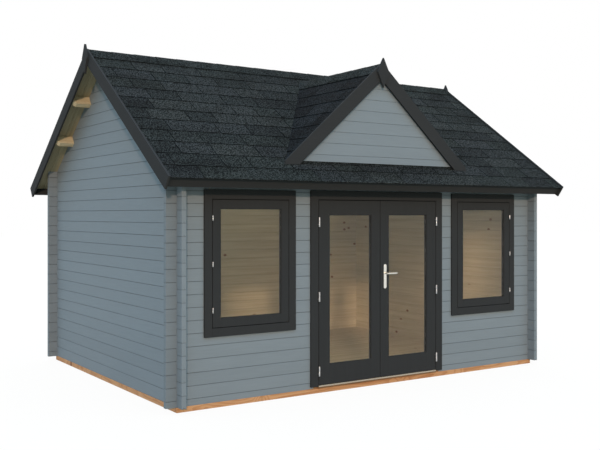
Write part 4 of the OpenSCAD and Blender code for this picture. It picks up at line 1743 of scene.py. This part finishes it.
@dataclass
class Stage:
    """Floor, light and camera.

    Attributes:
        reach, cells: half size of the floor, and its faces along each side.
        drop: depth of the floor under the house.
        floor_colour: colour of the floor.
        whiteness: share of plain white in the floor where it is seen.
        white: strength of that white.
        zenith, horizon: colour and strength of the light from all round, overhead and level.
        lamps: a warm, low light from the front left, a broad one from the front, a weak one from behind.
        fill_colour, fill_strength: the soft light inside the room.
        fill_at, fill_size: place and radius of that light.
        eye: place of the camera.
        yaw: turn of the camera to the right of +Y, in degrees.
        lens, sensor: focal length and sensor width in millimetres.
        rise: shift of the picture.
        far: how far the camera sees.
    """

    reach: float = 60.0
    cells: int = 2
    drop: float = 0.0005
    floor_colour: Rgb = (0.42, 0.36, 0.28)
    whiteness: float = 0.82
    white: float = 1.14
    zenith: Rgb = (0.86, 1.42, 2.08)
    horizon: Rgb = (0.36, 0.40, 0.34)
    lamps: tuple[Lamp, ...] = (
        Lamp("key_light", colour=(1.0, 0.70, 0.54), strength=1.45, stands=(-0.486, -0.832, 0.269), angle=3.0),
        Lamp("glow_light", colour=(1.0, 0.74, 0.24), strength=0.38, stands=(0.0, -0.95, 0.3), angle=80.0),
        Lamp("back_light", colour=(1.0, 0.8, 0.55), strength=0.8, stands=(0.55, 0.75, 0.37), angle=60.0),
    )
    fill_colour: Rgb = (0.88, 1.0, 0.96)
    fill_strength: float = 8.5
    fill_at: Vector = (-0.4, -0.1, 1.7)
    fill_size: float = 0.6
    eye: Vector = (-5.393, -8.277, 1.704)
    yaw: float = 33.746
    lens: float = 51.0
    sensor: float = 36.0
    rise: float = -0.01736
    far: float = 500.0

    def build(self) -> None:
        """Build the stage."""
        bpy.context.scene.view_settings.view_transform = "Standard"
        self.floor()
        self.sky()
        for lamp in self.lamps:
            lamp.hang()
        self.fill()
        self.camera()

    @staticmethod
    def seen_directly(g: Graph) -> Socket:
        """Tell rays that see a surface from those that only light.

        Args:
            g: the graph of the floor or the world.

        Returns:
            1 for rays from the camera, from gloss and through glass, or else 0.
        """
        path = g.node("LightPath").outputs
        gloss = g.math("MAXIMUM", path["Is Glossy Ray"], path["Is Transmission Ray"])
        return g.math("MAXIMUM", path["Is Camera Ray"], gloss)

    def floor(self) -> None:
        """Build the floor: pale, part of it plain white where it is seen, so that the shadow stays soft."""
        side = self.cells + 1
        axis = np.linspace(-self.reach, self.reach, side)
        points = points_of(axis, axis[:, None], np.array(-self.drop)).reshape(-1, 3)
        mesh = bpy.data.meshes.new("studio_floor")
        mesh.from_pydata(points.tolist(), [], grid_quads(np.arange(side**2).reshape(side, side)).tolist())
        material = bpy.data.materials.new("studio_floor")
        material.use_nodes = True
        g = Graph(material.node_tree)
        shader = g.tree.nodes["Principled BSDF"]
        g.feed(shader, {"Base Color": (*self.floor_colour, 1.0), "Roughness": 1.0, "Specular IOR Level": 0.0})
        white = g.value("Emission", {"Strength": self.white})
        g.show(g.math("MULTIPLY", self.seen_directly(g), self.whiteness), shader.outputs[0], white)
        mesh.materials.append(material)
        floor = add_object("studio_floor", mesh)

    def sky(self) -> None:
        """Light the house from all round, with plain white where the world itself is seen."""
        world = bpy.data.worlds.new("studio")
        bpy.context.scene.world = world
        world.use_nodes = True
        g = Graph(world.node_tree)
        height = g.math("MAXIMUM", g.split(g.place())[2], 0.0)
        sky = g.tree.nodes["Background"]
        g.feed(sky, {"Color": g.mix(height, self.horizon, self.zenith)})
        white = g.value("Background", {"Color": (1.0, 1.0, 1.0, 1.0)})
        g.show(self.seen_directly(g), sky.outputs[0], white)

    def fill(self) -> None:
        """Hang a soft lamp in the room that isn't seen itself."""
        lamp = bpy.data.lights.new("room_light", "POINT")
        lamp.color = self.fill_colour
        lamp.energy = self.fill_strength
        lamp.shadow_soft_size = self.fill_size
        glow = add_object("room_light", lamp)
        glow.location = self.fill_at
        glow.visible_camera = glow.visible_glossy = glow.visible_transmission = False

    def camera(self) -> None:
        """Stand a level camera before the front left corner."""
        lens = bpy.data.cameras.new("camera")
        lens.lens = self.lens
        lens.sensor_width = self.sensor
        lens.shift_y = self.rise
        lens.clip_end = self.far
        eye = add_object("camera", lens)
        eye.location = self.eye
        eye.rotation_euler = (math.radians(90.0), 0.0, -math.radians(self.yaw))
        bpy.context.scene.camera = eye


def roof_covers() -> list[ShingleSlope | RidgeCaps]:
    """Lay out the shingles and ridge caps of the main roof and of the front gable.

    Returns:
        The covers, in the order in which they are built.
    """
    side = ROOF_HALF - END_GAP
    low, high = node_box("gable_shingles")
    left, right = (RoofPlane(facing, GABLE_PITCH, float(high[2])) for facing in (Facing.LEFT, Facing.RIGHT))
    front, back = float(low[1]) + END_GAP, float(high[1])
    eaves = float(high[0]) / left.cosine + GABLE_RUN_DOWN
    on_roof = FRONT_PLANE.cut(ShingleSlope.crest)
    return [
        ShingleSlope(
            "front_shingle_tabs", (FRONT_PLANE,), -side, side, EAVES_DOWN,
            seed=5, stands_for=("front_shingles",),
        ),
        ShingleSlope(
            "back_shingle_tabs", (BACK_PLANE,), -side, side, EAVES_DOWN,
            seed=6, stands_for=("back_shingles",),
        ),
        ShingleSlope(
            "gable_shingle_tabs", (left, right), front, back + GABLE_RUN_BACK, eaves, seed=7,
            stands_for=("gable_shingles",), cut=on_roof, finish=SHADED_GABLE_SHINGLE,
        ),
        RidgeCaps("ridge_caps", FRONT_PLANE, -side, side, seed=8, stands_for=("ridge_cap",)),
        RidgeCaps("gable_ridge_caps", left, front, back, seed=9, cut=on_roof),
    ]


def main() -> None:
    """Build the pieces in order, then the stage."""
    logging.basicConfig(level=logging.INFO, format="%(name)s %(message)s")
    CadDress().build()
    FloorPlanks().build()
    RoofBoards().build()
    for cover in roof_covers():
        cover.build()
    GablePanel().build()
    GableApron().build()
    GlazingBeads().build()
    LockFittings().build()
    Stage().build()


if __name__ == "__main__":
    main()
